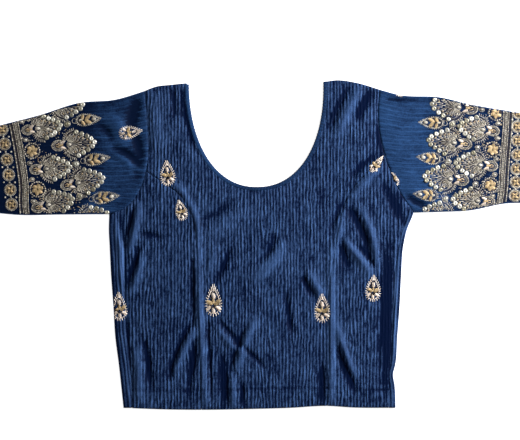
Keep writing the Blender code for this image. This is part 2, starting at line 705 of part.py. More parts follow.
def sleeve(name, arm_parts, top_places, low_places, way):
    """A flattened tube from rings: two layers between the edges, with a round fold at each edge.

    A place on a layer is a blend of the four edge lines (a Coons patch): s runs
    from the armhole to the cuff and t from the underarm edge to the shoulder edge.
    """
    arm = np.concatenate([arm_parts[0], arm_parts[1][1:], arm_parts[2][1:]])[::-1]
    arm = offset_line(arm, way * SEAM_GAP / 2)
    arm_at = lengths(arm)
    vertex_t = (arm_at - FOLD_OUTER) / (arm_at[-1] - 2 * FOLD_OUTER)
    coarse_t = np.concatenate([[0.0], vertex_t[(vertex_t > 0.02) & (vertex_t < 0.98)], [1.0]])
    fine_t = np.linspace(0.0, 1.0, 2 * SLEEVE_RIDGES + 1)
    stations = np.linspace(0.0, 1.0, SLEEVE_STATIONS)

    def along(line, share):
        at = lengths(line)
        return np.stack([np.interp(share * at[-1], at, line[:, i]) for i in range(2)], axis=-1)

    low, top = through(low_places), through(top_places)
    low_edge, top_edge = along(low, stations), along(top, stations)
    cuff = np.stack([low_edge[-1], top_edge[-1]])

    def outward(edge, side):
        ahead = np.gradient(edge, axis=0)
        ahead /= np.linalg.norm(ahead, axis=1)[:, None]
        return side * np.stack([-ahead[:, 1], ahead[:, 0]], axis=1)

    low_out, top_out = outward(low_edge, -way), outward(top_edge, way)
    ends = arm[[0, -1]]
    low_out[0] = (arm[0] - along(arm, 0.02)) / np.linalg.norm(arm[0] - along(arm, 0.02))
    top_out[0] = (arm[-1] - along(arm, 0.98)) / np.linalg.norm(arm[-1] - along(arm, 0.98))
    low_centre = low_edge - FOLD_OUTER * low_out
    top_centre = top_edge - FOLD_OUTER * top_out
    low_centre[0] = ends[0] - FOLD_OUTER * low_out[0]
    top_centre[0] = ends[1] - FOLD_OUTER * top_out[0]

    def layer(t):
        """Places of all stations at some t, as an array: station, t, across and up."""
        s = stations[:, None, None]
        w = t[None, :, None]
        at = FOLD_OUTER + t * (arm_at[-1] - 2 * FOLD_OUTER)
        arm_row = np.stack([np.interp(at, arm_at, arm[:, i]) for i in range(2)], axis=-1)[None]
        cuff_row = ((1 - w) * low_centre[-1] + w * top_centre[-1])
        edges = (1 - w) * low_centre[:, None] + w * top_centre[:, None]
        corners = (1 - s) * ((1 - w) * low_centre[0] + w * top_centre[0]) + s * cuff_row
        return (1 - s) * arm_row + s * cuff_row + edges - corners

    def rise(t, places):
        """Loft and folds of the upper layer, none at its edges or at the armhole."""
        width = np.linalg.norm(top_centre - low_centre, axis=1)[:, None]
        length = lengths(low_edge)[-1]
        side = np.minimum(t, 1 - t)[None, :] * width
        seam = (stations * length)[:, None]
        near = smooth_rise(side / LOFT_REACH) * smooth_rise(seam / 20.0)
        folds = folds_at(places[..., 0], places[..., 1]) * smooth_rise(side / FOLD_FADE)
        return LOFT * near + folds * smooth_rise(seam / 12.0)

    def ring(t_top, t_low, radius, lift):
        top_xy, low_xy = layer(t_top), layer(t_low)[:, ::-1]
        upper_z = FOLD_OUTER + radius + rise(t_top, top_xy) + lift
        lower_z = np.full(low_xy.shape[:2], FOLD_OUTER - radius)
        turn = np.linspace(math.pi, 0.0, FOLD_STEPS - 1)[1:-1]
        reach, drop = radius * np.sin(turn), FOLD_OUTER - radius * np.cos(turn)
        at_top = top_centre[:, None] + top_out[:, None] * reach[None, :, None]
        at_low = low_centre[:, None] + low_out[:, None] * reach[None, ::-1, None]
        z_top = np.broadcast_to(drop, at_top.shape[:2])
        z_low = np.broadcast_to(drop[::-1], at_low.shape[:2])
        xy = np.concatenate([top_xy, at_top, low_xy, at_low], axis=1)
        z = np.concatenate([upper_z, z_top, lower_z, z_low], axis=1)
        return np.concatenate([xy, z[..., None]], axis=2)

    number = np.arange(len(fine_t))
    fade = np.minimum(1.0, np.minimum(number, number[::-1]) / 3.0)
    wobble = 0.75 + 0.25 * np.sin(1.7 * number[None, :] + 3.0 * stations[:, None])
    lift = np.where(number % 2 == 1, SLEEVE_RIDGE_HEIGHT, 0.0)[None, :] * fade * wobble
    outer = ring(fine_t, coarse_t, FOLD_OUTER, lift)
    inner = ring(coarse_t, coarse_t, FOLD_INNER, 0.0)

    points = np.concatenate([outer.reshape(-1, 3), inner.reshape(-1, 3)])
    many, few = outer.shape[1], inner.shape[1]
    base = outer.shape[0] * many
    faces = tube_faces(len(stations), many, 0) + [f[::-1] for f in tube_faces(len(stations), few, base)]
    share_many = loop_share(fine_t, coarse_t)
    share_few = loop_share(coarse_t, coarse_t)
    last = len(stations) - 1
    faces += [f[::-1] for f in zip_loops(0, share_many, base, share_few)]
    faces += zip_loops(last * many, share_many, base + last * few, share_few)
    made = np.array(faces)
    if way > 0:
        made = made[:, ::-1]
    make_object(name, points, made, NAVY_SLEEVE)


def tube_faces(stations, count, base):
    faces = []
    for i in range(stations - 1):
        for j in range(count):
            a = base + i * count + j
            b = base + i * count + (j + 1) % count
            c, d = b + count, a + count
            faces += [(a, b, c), (a, c, d)]
    return faces


def loop_share(top_t, low_t):
    """How far round the ring each of its points is: 0 to 1 along the top, 2 to 3 along the floor layer."""
    bend = np.linspace(0.0, 1.0, FOLD_STEPS - 1)[1:-1]
    return np.concatenate([top_t, 1 + bend, 2 + (1 - low_t[::-1]), 3 + bend])


def zip_loops(start_a, share_a, start_b, share_b):
    """Closes the ring between two loops: each step goes on along whichever loop is behind."""
    faces = []
    i = j = 0
    while i < len(share_a) or j < len(share_b):
        next_a = share_a[i + 1] if i + 1 < len(share_a) else 4.0
        next_b = share_b[j + 1] if j + 1 < len(share_b) else 4.0
        a = start_a + i % len(share_a)
        b = start_b + j % len(share_b)
        if j >= len(share_b) or (i < len(share_a) and next_a <= next_b):
            faces.append((a, start_a + (i + 1) % len(share_a), b))
            i += 1
        else:
            faces.append((a, start_b + (j + 1) % len(share_b), b))
            j += 1
    return faces


sleeve("sleeve_left", arm_left, SLEEVE_TOP_LEFT, SLEEVE_LOW_LEFT, -1)
sleeve("sleeve_right", arm_right, SLEEVE_TOP_RIGHT, SLEEVE_LOW_RIGHT, 1)


def binding(name, neck_set, z_low, z_high):
    """A bound edge: a rounded band carried along the neck line."""
    width, round_by = BINDING_WIDTH - SEAM_GAP / 2, 0.7
    profile = [
        (0.0, z_low + round_by),
        (round_by, z_low),
        (width, z_low),
        (width, z_high - round_by),
        (width - round_by, z_high),
        (round_by, z_high),
        (0.0, z_high - round_by),
    ]
    loops = []
    for across, z in profile:
        place = neck_offset(neck_set + across)
        loops.append(np.concatenate([place, np.full((len(place), 1), z)], axis=1))
    points = np.stack(loops, axis=1).reshape(-1, 3)
    count = len(profile)
    faces = tube_faces(len(neck), count, 0)
    last = (len(neck) - 1) * count
    faces += [(0, j + 1, j) for j in range(1, count - 1)]
    faces += [(last, last + j, last + j + 1) for j in range(1, count - 1)]
    make_object(name, points, np.array(faces)[:, ::-1], NAVY_BINDING)


binding("neck_binding_front", 0.0, FRONT_Z - 0.5, FRONT_Z - 0.5 + BINDING_THICK)
binding("neck_binding_back", BACK_NECK_SET, 0.0, BINDING_THICK)
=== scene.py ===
# %% [markdown]
# This lesson dresses a choli blouse: navy cloth crinkled into narrow ridges, laid flat with its
# seamed front upward, its sleeves worked with silver thread, sequins and beads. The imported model
# gives the place and size of every piece, in metres. It is loaded first and is never moved,
# because the cloth, the sewing and the camera are all placed in the same frame.

import json
import math

import bpy
import numpy as np
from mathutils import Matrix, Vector

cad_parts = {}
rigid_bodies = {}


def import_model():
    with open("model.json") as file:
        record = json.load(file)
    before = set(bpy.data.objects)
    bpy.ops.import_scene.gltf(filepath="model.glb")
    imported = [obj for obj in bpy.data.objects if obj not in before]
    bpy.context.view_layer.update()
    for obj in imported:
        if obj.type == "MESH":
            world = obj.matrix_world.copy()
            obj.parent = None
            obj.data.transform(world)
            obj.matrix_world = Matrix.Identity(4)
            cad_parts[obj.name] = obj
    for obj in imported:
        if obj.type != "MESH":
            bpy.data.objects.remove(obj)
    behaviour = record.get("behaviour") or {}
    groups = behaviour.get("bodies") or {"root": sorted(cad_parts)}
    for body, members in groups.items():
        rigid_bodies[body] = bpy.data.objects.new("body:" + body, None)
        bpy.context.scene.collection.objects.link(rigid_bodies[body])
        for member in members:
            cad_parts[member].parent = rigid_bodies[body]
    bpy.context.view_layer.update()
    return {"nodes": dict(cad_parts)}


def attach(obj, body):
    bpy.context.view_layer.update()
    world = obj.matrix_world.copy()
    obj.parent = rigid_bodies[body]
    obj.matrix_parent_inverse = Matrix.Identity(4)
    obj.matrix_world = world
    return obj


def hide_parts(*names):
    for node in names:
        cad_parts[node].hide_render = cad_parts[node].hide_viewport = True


for thing in list(bpy.data.objects):
    bpy.data.objects.remove(thing, do_unlink=True)

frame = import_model()
MM = 0.001
print("nodes:", sorted(frame["nodes"]))

# %% [markdown]
# The blouse is drawn with a few smooth lines seen from above: seams, armholes, shoulders and hem,
# each through a handful of places in millimetres. They could be Bezier curves drawn by hand, but
# short tables and one function are easier to read and repeat exactly what the solids were made
# from. Every line below is the cubic Hermite line through its places.

# %% Lines seen from above, in millimetres: across, up
WALL, FRONT_WALL = 1.0, 1.2
FOLD_OUTER = 1.9
FOLD_INNER = FOLD_OUTER - WALL
FOLD_LENGTH = math.pi * (FOLD_OUTER + FOLD_INNER) / 2
FRONT_Z = FOLD_OUTER + FOLD_INNER
LOWEST_FRONT, LOFT, LOFT_REACH, FOLD_FADE = 2.4, 1.2, 24.0, 8.0
BINDING_WIDTH, BINDING_THICK, BACK_NECK_SET = 5.5, 2.0, 2.5
# columns: y, left fold, left side seam, right side seam, right fold
BODY_SECTIONS = [
    (60, -196.0, -174.0, 198.0, 203.0),
    (40, -196.0, -174.0, 191.5, 199.0),
    (20, -196.5, -174.5, 185.5, 191.0),
    (0, -195.5, -175.5, 180.5, 186.5),
    (-40, -193.5, -176.0, 174.5, 183.5),
    (-80, -190.5, -174.5, 172.5, 181.5),
    (-120, -188.0, -172.0, 170.5, 178.5),
    (-155, -183.5, -168.5, 168.8, 176.0),
    (-168, -182.0, -168.0, 168.2, 173.0),
    (-182, -180.5, -167.0, 167.7, 175.0),
    (-220, -176.5, -166.0, 167.0, 176.5),
]
PRINCESS_LEFT = [(-147, 95), (-121, 78), (-100, 60), (-88, 36), (-83, 0), (-80.5, -91), (-76, -214)]
PRINCESS_RIGHT = [(161, 113), (138, 94), (116, 68), (104, 34), (97, -8), (89, -60), (89.5, -140), (87, -209)]
ARMHOLE_LEFT = [(-150, 200), (-146, 152), (-146, 110), (-155, 75), (-174, 49), (-196, 40)]
ARMHOLE_RIGHT = [(155, 202), (153, 168), (159, 128), (170, 94), (183, 67), (199.5, 42)]
SHOULDER_LEFT = [(-97.6, 210), (-117, 208), (-134, 206), (-150, 200)]
SHOULDER_RIGHT = [(87.6, 212.6), (98, 214), (124, 211), (155, 202)]
HEM = [
    (-177, -211.5), (-120, -213.6), (-76, -214), (-13, -213),
    (39, -211.5), (87, -209), (120, -211), (176, -211.5),
]
SEAM_TOP_LEFT, SEAM_TOP_RIGHT = 49.0, 49.5
UNDERARM_LEFT, UNDERARM_RIGHT = 40.0, 42.0
LOWEST_HEM, BACK_HEIGHT = 214, 424
SLEEVE_TOP_LEFT = [(-150, 200), (-188, 189), (-234, 185), (-286, 169), (-338, 155.5), (-374, 145)]
SLEEVE_LOW_LEFT = [(-196, 40), (-260, 39.5), (-312, 39), (-363, 44)]
SLEEVE_TOP_RIGHT = [(155, 202), (182, 195), (234, 192), (273, 183), (325, 174), (374, 166)]
SLEEVE_LOW_RIGHT = [(199.5, 42), (234, 43), (273, 45), (320, 54), (368, 54)]
NECK_WIDTH, NECK_DEPTH, NECK_ROUNDNESS = 174.0, 134.7, 2.2
NECK_BOTTOM, NECK_TURN, NECK_POINTS = (-2.3, 75.8), math.radians(1.2), 300


def smooth_rise(t):
    """0 below 0, 1 above 1, and 3 t squared less 2 t cubed between."""
    t = np.clip(t, 0.0, 1.0)
    return t * t * (3.0 - 2.0 * t)


def lengths(line):
    """The length along a line at each of its points."""
    return np.concatenate([[0.0], np.cumsum(np.linalg.norm(np.diff(line, axis=0), axis=1))])


def through(places, step=1.0):
    """A smooth line through places: cubic pieces that share their slopes where they meet."""
    p = np.array(places, float)
    at = lengths(p)
    slope = np.gradient(p, at, axis=0)
    s = np.linspace(0.0, at[-1], int(at[-1] / step) + 2)
    i = np.clip(np.searchsorted(at, s, side="right") - 1, 0, len(at) - 2)
    h = (at[i + 1] - at[i])[:, None]
    t = (s - at[i])[:, None] / h
    start = (2 * t**3 - 3 * t**2 + 1) * p[i] + (t**3 - 2 * t**2 + t) * h * slope[i]
    end = (3 * t**2 - 2 * t**3) * p[i + 1] + (t**3 - t**2) * h * slope[i + 1]
    return start + end


def along(line, share):
    """Places at some shares of a line's length."""
    at = lengths(line)
    return np.stack([np.interp(share * at[-1], at, line[:, i]) for i in range(2)], axis=-1)


def offset_line(line, distance):
    """A line moved to its left by a distance, corners mitred."""
    ahead = np.diff(line, axis=0)
    ahead /= np.linalg.norm(ahead, axis=1)[:, None]
    first, second = np.concatenate([ahead[:1], ahead]), np.concatenate([ahead, ahead[-1:]])
    both = np.stack([-(first + second)[:, 1], (first + second)[:, 0]], axis=1)
    return line + both * (2 * distance / (both**2).sum(axis=1))[:, None]


def neck_line():
    """The neck edge, left to right: half a superellipse, turned a degree about its foot."""
    angle = np.linspace(math.pi, 2 * math.pi, 1441)
    c, s = np.cos(angle), np.sin(angle)
    x = NECK_WIDTH / 2 * np.sign(c) * np.abs(c) ** (2 / NECK_ROUNDNESS)
    y = NECK_DEPTH * (1 - np.abs(s) ** (2 / NECK_ROUNDNESS))
    turn_c, turn_s = math.cos(NECK_TURN), math.sin(NECK_TURN)
    line = np.stack([x * turn_c - y * turn_s, x * turn_s + y * turn_c], axis=1) + NECK_BOTTOM
    return along(line, np.linspace(0.0, 1.0, NECK_POINTS))


def reader(line):
    """A line that only rises or falls, as a function that gives its place across at a height."""
    rising = line[np.argsort(line[:, 1])]
    return lambda y: np.interp(y, rising[:, 1], rising[:, 0])


neck = neck_line()
hem = through(HEM)
arm_left, arm_right = through(ARMHOLE_LEFT), through(ARMHOLE_RIGHT)
section_rows = np.array(BODY_SECTIONS, float)[::-1]
side_lines = [reader(through(section_rows[:, [i, 0]])) for i in (1, 2, 3, 4)]
fold_left, seam_left, seam_right, fold_right = side_lines
arm_left_x, arm_right_x = reader(arm_left), reader(arm_right)
princess_left_x, princess_right_x = reader(through(PRINCESS_LEFT)), reader(through(PRINCESS_RIGHT))


def hem_y(x):
    return np.interp(x, hem[:, 0], hem[:, 1])


def shoulder_y(x):
    both = np.concatenate([through(SHOULDER_LEFT)[::-1], through(SHOULDER_RIGHT)])
    return np.interp(x, both[:, 0], both[:, 1])


print("neck edge", round(lengths(neck)[-1]), "mm, hem", round(lengths(hem)[-1]), "mm")

# %% [markdown]
# The largest folds are placed one row each, where the cloth lies over itself or sags
# below the bust. A cloth simulation would put them anywhere, so each is a bowed line with a
# bell-shaped section that fades at both ends: a ridge where its height is positive and a trough
# where it is negative.

# %% Folds and hollows of the upper layers, in millimetres
FOLD_SCALE, FOLD_TAPER = 1.5, 0.7
# columns: from x, from y, to x, to y, bow, height, half width
FOLDS = [
    (-186, 35, -177, -72, 3, 2.2, 4.5),
    (-157, 57, -173, -14, 2, 2.8, 5.6),
    (-182, 44, -176, -6, -1, -2.4, 3.4),
    (-164, 54, -176, 4, 1, -2.2, 3.2),
    (-176, 2, -174, -58, 0, -2.2, 3.2),
    (-157, 0, -174, -58, 1, -2.2, 3.8),
    (-151, -6, -169, -66, 1, 2.0, 5.0),
    (-160, 16, -126, 9, 1, -1.5, 3.8),
    (-174, -94, -167, -170, 0, -1.9, 2.8),
    (-160, -130, -156, -210, 0, 1.9, 6.0),
    (-83, -118, -93, -194, -1, -2.1, 4.4),
    (-68, -88, -63, -204, 0, -1.4, 2.6),
    (-116, 82, -93, 58, 2, 1.5, 4.4),
    (-97, 63, -80, 14, 4, 1.8, 4.6),
    (-81, 39, -70, -216, -3, 2.2, 4.8),
    (-88, -16, -86, -110, 0, -1.6, 3.4),
    (-83, -108, -113, -170, -3, 2.5, 5.2),
    (-88, -96, -120, -178, -3, -2.3, 4.2),
    (-151, -116, -140, -192, 0, -2.0, 4.2),
    (-56, -95, 10, -161, -2, -1.8, 3.4),
    (-58, -103, -21, -146, -2, 1.4, 4.2),
    (-4, -92, -32, -166, -3, 2.4, 6.0),
    (-16, -100, -39, -166, -2, -2.2, 4.4),
    (-49, -140, -46, -216, 0, -2.2, 5.4),
    (-36, -164, -35, -218, 0, 1.7, 4.0),
    (-24, -176, -21, -218, 0, -1.7, 3.4),
    (-76, 26, -34, 62, 0, -1.0, 6.0),
    (-70, 8, -14, 52, 0, 0.9, 9.0),
    (34, 6, -14, -49, 4, 2.0, 8.0),
    (22, 12, -4, -26, 3, -1.7, 4.6),
    (-38, 0, -60, -50, 2, -1.8, 4.2),
    (-58, 4, -71, -44, 2, 1.1, 4.4),
    (113, 64, 90, 12, -3, -1.5, 3.6),
    (62, -32, 82, -70, 0, 2.2, 5.2),
    (54, -38, 70, -70, 0, -1.9, 4.4),
    (33, -58, 44, -118, -2, -1.9, 3.6),
    (106, 9, 146, -42, 2, 2.9, 5.6),
    (118, 6, 153, -34, 2, -1.8, 4.0),
    (128, 52, 152, -40, 6, 2.6, 5.6),
    (112, 52, 145, -16, 4, -2.3, 5.4),
    (103, 10, 113, -30, 0, -2.3, 5.0),
    (161, 105, 117, 58, -3, 2.0, 4.6),
    (154, 119, 116, 84, -3, -1.7, 4.2),
    (151, 164, 158, 116, 0, -1.9, 4.6),
    (158, 84, 186, 26, 2, -2.0, 7.0),
    (107, 46, 95, -20, 1, 1.6, 4.4),
    (93, 2, 92, -216, 0, 2.4, 5.2),
    (80, -150, 79, -214, 0, -2.0, 5.0),
    (99, -98, 125, -173, -3, 2.6, 4.8),
    (100, -126, 126, -194, -3, -2.3, 5.2),
    (166, 22, 164, -205, 0, -2.4, 10.0),
    (176, 10, 173, -200, 0, 1.6, 3.2),
    (-102, 206, -78, 112, -4, -2.0, 3.6),
    (-114, 206, -110, 166, 0, -1.8, 3.8),
    (-139, 200, -132, 120, 0, 1.2, 9.0),
    (118, 211, 88, 147, -3, -1.8, 4.2),
    (133, 207, 100, 140, -3, 2.3, 6.0),
    (150, 206, 124, 158, -3, -2.5, 6.0),
    (-200, 172, -172, 130, 4, 1.6, 8.0),
    (-155, 198, -171, 148, 0, -2.8, 7.5),
    (-165, 146, -149, 104, 1, -2.6, 6.0),
    (-194, 128, -149, 97, 3, -2.5, 5.0),
    (-190, 122, -152, 88, 3, 1.5, 5.0),
    (-212, 159, -190, 135, 2, -1.4, 5.0),
    (-168, 110, -152, 80, 0, -1.4, 4.0),
    (156, 188, 228, 188, 2, -2.2, 3.6),
    (178, 72, 218, 50, -4, -2.4, 5.0),
    (183, 60, 211, 47, -2, 1.0, 3.4),
]


def folds_at(x, y):
    """Sum over the table: height exp(-(distance / width) squared) sin(pi t)^taper, t from 0 to 1 along it."""
    total = np.zeros(np.shape(x))
    for x0, y0, x1, y1, bow, height, width in FOLDS:
        length = math.hypot(x1 - x0, y1 - y0)
        run_x, run_y = (x1 - x0) / length, (y1 - y0) / length
        t = np.clip(((x - x0) * run_x + (y - y0) * run_y) / length, 0.0, 1.0)
        side = (y - y0) * run_x - (x - x0) * run_y - bow * 4 * t * (1 - t)
        total += height * np.exp(-((side / width) ** 2)) * np.sin(math.pi * t) ** FOLD_TAPER
    return FOLD_SCALE * total


print(len(FOLDS), "folds, from", min(row[5] for row in FOLDS), "to", max(row[5] for row in FOLDS), "mm")

# %% [markdown]
# The crinkle is set into the real cloth by twisting it wet, so its ridges run side by side, swell
# and sink, wander, split in two and end. A displacement texture could give even waves. Here each
# ridge is a wave of a phase that is bent by slow noise, and pairs of phase centres put in an extra
# ridge between two places, as where a real ridge forks and closes again.

# %% Crinkle of the body cloth
RIDGE_PITCH, RIDGE_HEIGHT = 4.4, 1.1
LINE_STEP = RIDGE_PITCH / 2
# columns: how far a ridge wanders aside, over what length, step from line to line, start
WANDERS = [(0.4, 41.0, 0.23, 0.0), (0.2, 17.0, 0.61, 1.3)]
FORK_COUNT, FORK_REACH, FORK_FADE = 24, 60, 25
# columns: strength, size across, size along, seed
PHASE_NOISE = [(0.15, 5.0, 27.0, 1), (0.15, 2.7, 8.0, 2)]
SWELL_NOISE = [(0.24, 4.4, 15.0, 3), (0.24, 3.5, 6.5, 4), (0.28, 2.6, 3.4, 7)]
FINE_NOISE = [(0.20, 1.3, 4.5, 5), (0.20, 2.4, 2.9, 6)]
SWELL_MEAN, RIDGE_SHARPNESS = 0.68, 1.5


def soft_noise(x, y, seed):
    """Numbers from -1 to 1 that change smoothly over one unit: a random lattice, blended between."""
    lattice = np.random.default_rng(seed).uniform(-1.0, 1.0, (128, 128))
    i, j = np.floor(x).astype(int), np.floor(y).astype(int)
    u, v = smooth_rise(x - i), smooth_rise(y - j)
    low = lattice[i % 128, j % 128] * (1 - u) + lattice[(i + 1) % 128, j % 128] * u
    high = lattice[i % 128, (j + 1) % 128] * (1 - u) + lattice[(i + 1) % 128, (j + 1) % 128] * u
    return low * (1 - v) + high * v


def layered(x, y, layers):
    """Sum of the soft noises in a table."""
    return sum(strength * soft_noise(x / across, y / down, seed) for strength, across, down, seed in layers)


def crinkle_line(k, y):
    """Place across of crinkle line k: even spacing, with a slow wander down its length."""
    wander = sum(size * np.sin(y / over + step * k + start) for size, over, step, start in WANDERS)
    return LINE_STEP * k + wander


def crinkle_index(x, y):
    """Which crinkle line passes through a place, found by three steps of correction."""
    k = x / LINE_STEP
    for _ in range(3):
        k = k + (x - crinkle_line(k, y)) / LINE_STEP
    return k


fork_draw = np.random.default_rng(11)
fork_x = fork_draw.uniform(-190, 200, FORK_COUNT)
fork_low = fork_draw.uniform(-225, 190, FORK_COUNT)
fork_high = fork_low + fork_draw.uniform(12, 55, FORK_COUNT)


def fork_shift(x, y):
    """One more ridge between each pair of forks: the turn about the lower fork less that about the upper."""
    shift = np.zeros(np.shape(x))
    for fx, low, high in zip(fork_x, fork_low, fork_high):
        near = np.abs(x - fx) < FORK_REACH
        dx, px, py = (x - fx)[near], x[near], y[near]
        turn = np.arctan2(dx, py - low) - np.arctan2(dx, py - high)
        shift[near] += turn / (2 * math.pi) * smooth_rise((FORK_REACH - np.abs(px - fx)) / FORK_FADE)
    return shift


def crinkle(x, y):
    """Height of the crinkle: a wave of the bent phase, times an uneven swell, with fine creases."""
    phase = crinkle_index(x, y) / 2 + fork_shift(x, y)
    phase = phase + layered(x, y, PHASE_NOISE)
    wave = (0.5 + 0.5 * np.cos(2 * math.pi * phase)) ** RIDGE_SHARPNESS
    swell = SWELL_MEAN + layered(x, y, SWELL_NOISE)
    return RIDGE_HEIGHT * np.maximum(wave * swell + layered(x, y, FINE_NOISE), 0.0)


trial = crinkle(*np.random.default_rng(0).uniform(-80, 80, (2, 4000)))
print("crinkle from", *np.round(np.percentile(trial, [0, 50, 100]), 2), "mm")

# %% [markdown]
# A panel of cloth is a shell: an outer face, an inner face and a rim that joins them. Each face is
# a grid whose columns follow the ridges and whose rows run across, so that the ridges stay smooth.
# The outline could be cut with a Boolean, which leaves ragged triangles; instead a place past the
# outline is drawn along its row to the outline, and triangles that have lost their area are dropped.

# %% Grid, shell and mesh
def whole_faces(faces):
    """The triangles whose three corners are three different points."""
    return faces[(faces != np.roll(faces, 1, axis=1)).all(axis=1)]


def cloth_grid(columns, row_count, groups, across, bottom, top):
    """Places and triangles of a flat piece. Row v lies at bottom(x) + v (top(x) - bottom(x)).

    A group is neighbouring columns, from and to, with a low and a high limit across as functions
    of the height. Groups are joined only in rows where neither limit comes between them.
    """
    v = np.linspace(0.0, 1.0, row_count)[:, None]

    def up(x):
        return bottom(x) + v * (top(x) - bottom(x))

    x = np.zeros((row_count, len(columns)))
    for _ in range(4):
        x = across(columns[None, :], up(x))
    gap = np.full(x.shape, 1e3)
    open_low, open_high = [], []
    for start, stop, low, high in groups:
        here = x[:, start:stop]
        lo = hi = here.mean(axis=1, keepdims=True)
        for _ in range(6):
            lo, hi = low(up(lo)), high(up(hi))
        x[:, start:stop] = np.clip(here, lo, hi)
        gap[:, start:stop] = np.minimum(x[:, start:stop] - lo, hi - x[:, start:stop])
        open_low.append(np.isinf(lo[:, 0]))
        open_high.append(np.isinf(hi[:, 0]))
    y = up(x)
    rows = np.arange(row_count)[:, None] + 0 * x
    pairs = np.stack([rows.ravel(), x.ravel()])
    _, first, ids = np.unique(pairs, axis=1, return_index=True, return_inverse=True)
    ids = ids.reshape(x.shape)
    keep = np.ones((row_count - 1, len(columns) - 1), bool)
    for i in range(1, len(groups)):
        joined = open_high[i - 1] & open_low[i]
        keep[:, groups[i][0] - 1] = joined[:-1] & joined[1:]
    a, b, c, d = ids[:-1, :-1], ids[:-1, 1:], ids[1:, 1:], ids[1:, :-1]
    faces = np.concatenate([np.stack([a, b, c], -1)[keep], np.stack([a, c, d], -1)[keep]])
    used, faces = np.unique(whole_faces(faces), return_inverse=True)
    pick = first[used]
    return x.ravel()[pick], y.ravel()[pick], gap.ravel()[pick], faces.reshape(-1, 3)


def shell(upper, lower, faces):
    """Two faces over the same grid, joined round every edge that only one triangle uses."""
    edges = np.concatenate([faces[:, [0, 1]], faces[:, [1, 2]], faces[:, [2, 0]]])
    _, same, count = np.unique(np.sort(edges, axis=1), axis=0, return_inverse=True, return_counts=True)
    a, b = edges[count[same.ravel()] == 1].T
    base = len(upper)
    rim = np.concatenate([np.stack([b, a, a + base], 1), np.stack([b, a + base, b + base], 1)])
    return np.concatenate([upper, lower]), np.concatenate([faces, faces[:, ::-1] + base, rim])


def make_piece(name, points, faces, finish, slot, stands_for=(), **values):
    """One object at the origin, from places in millimetres, with a value at each point for its finish."""
    faces = np.asarray(faces, np.int32)
    mesh = bpy.data.meshes.new(name)
    mesh.vertices.add(len(points))
    mesh.vertices.foreach_set("co", (np.asarray(points) * MM).astype(np.float32).ravel())
    mesh.loops.add(faces.size)
    mesh.loops.foreach_set("vertex_index", faces.ravel())
    mesh.polygons.add(len(faces))
    mesh.polygons.foreach_set("loop_start", np.arange(0, faces.size, faces.shape[1], dtype=np.int32))
    mesh.update(calc_edges=True)
    for key, value in values.items():
        mesh.attributes.new(key, "FLOAT", "POINT").data.foreach_set("value", np.asarray(value, np.float32))
    mesh.materials.append(finish)
    mesh.shade_smooth()
    piece = bpy.data.objects.new(name, mesh)
    bpy.context.scene.collection.objects.link(piece)
    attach(piece, "root")
    if stands_for:
        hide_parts(*stands_for)
    triangles = len(faces) * (faces.shape[1] - 2)
    print(name, triangles, "triangles")
    return piece


def area_of(x, y, faces):
    """Flat area seen from above, in square metres."""
    ax, bx, cx = x[faces].T
    ay, by, cy = y[faces].T
    return float(np.abs((bx - ax) * (cy - ay) - (by - ay) * (cx - ax)).sum() / 2 * MM * MM)


# %% [markdown]
# A finish is a tree of shader nodes. To keep it readable, one small class wraps a value and lets
# Python's operators add the Math nodes, and one method adds any other node. Values that change
# over the surface go only to colour, roughness and bump; the rest are set on the shader itself.

# %% Shader helpers
class Amount:
    """A number that varies over a surface. Python's operators on it add Math nodes."""

    def __init__(self, tree, socket):
        self.tree, self.socket = tree, socket

    def maths(self, operation, first, second=0.0):
        node = self.tree.nodes.new("ShaderNodeMath")
        node.operation = operation
        for place, value in zip(node.inputs, (first, second)):
            plug(self.tree, place, value)
        return Amount(self.tree, node.outputs[0])

    def __add__(self, other):
        return self.maths("ADD", self, other)

    def __sub__(self, other):
        return self.maths("SUBTRACT", self, other)

    def __mul__(self, other):
        return self.maths("MULTIPLY", self, other)

    __radd__, __rmul__ = __add__, __mul__


def plug(tree, place, value):
    """Links a wrapped or plain socket to an input, or sets a constant on it."""
    if isinstance(value, Amount):
        tree.links.new(value.socket, place)
    elif isinstance(value, bpy.types.NodeSocket):
        tree.links.new(value, place)
    else:
        place.default_value = value


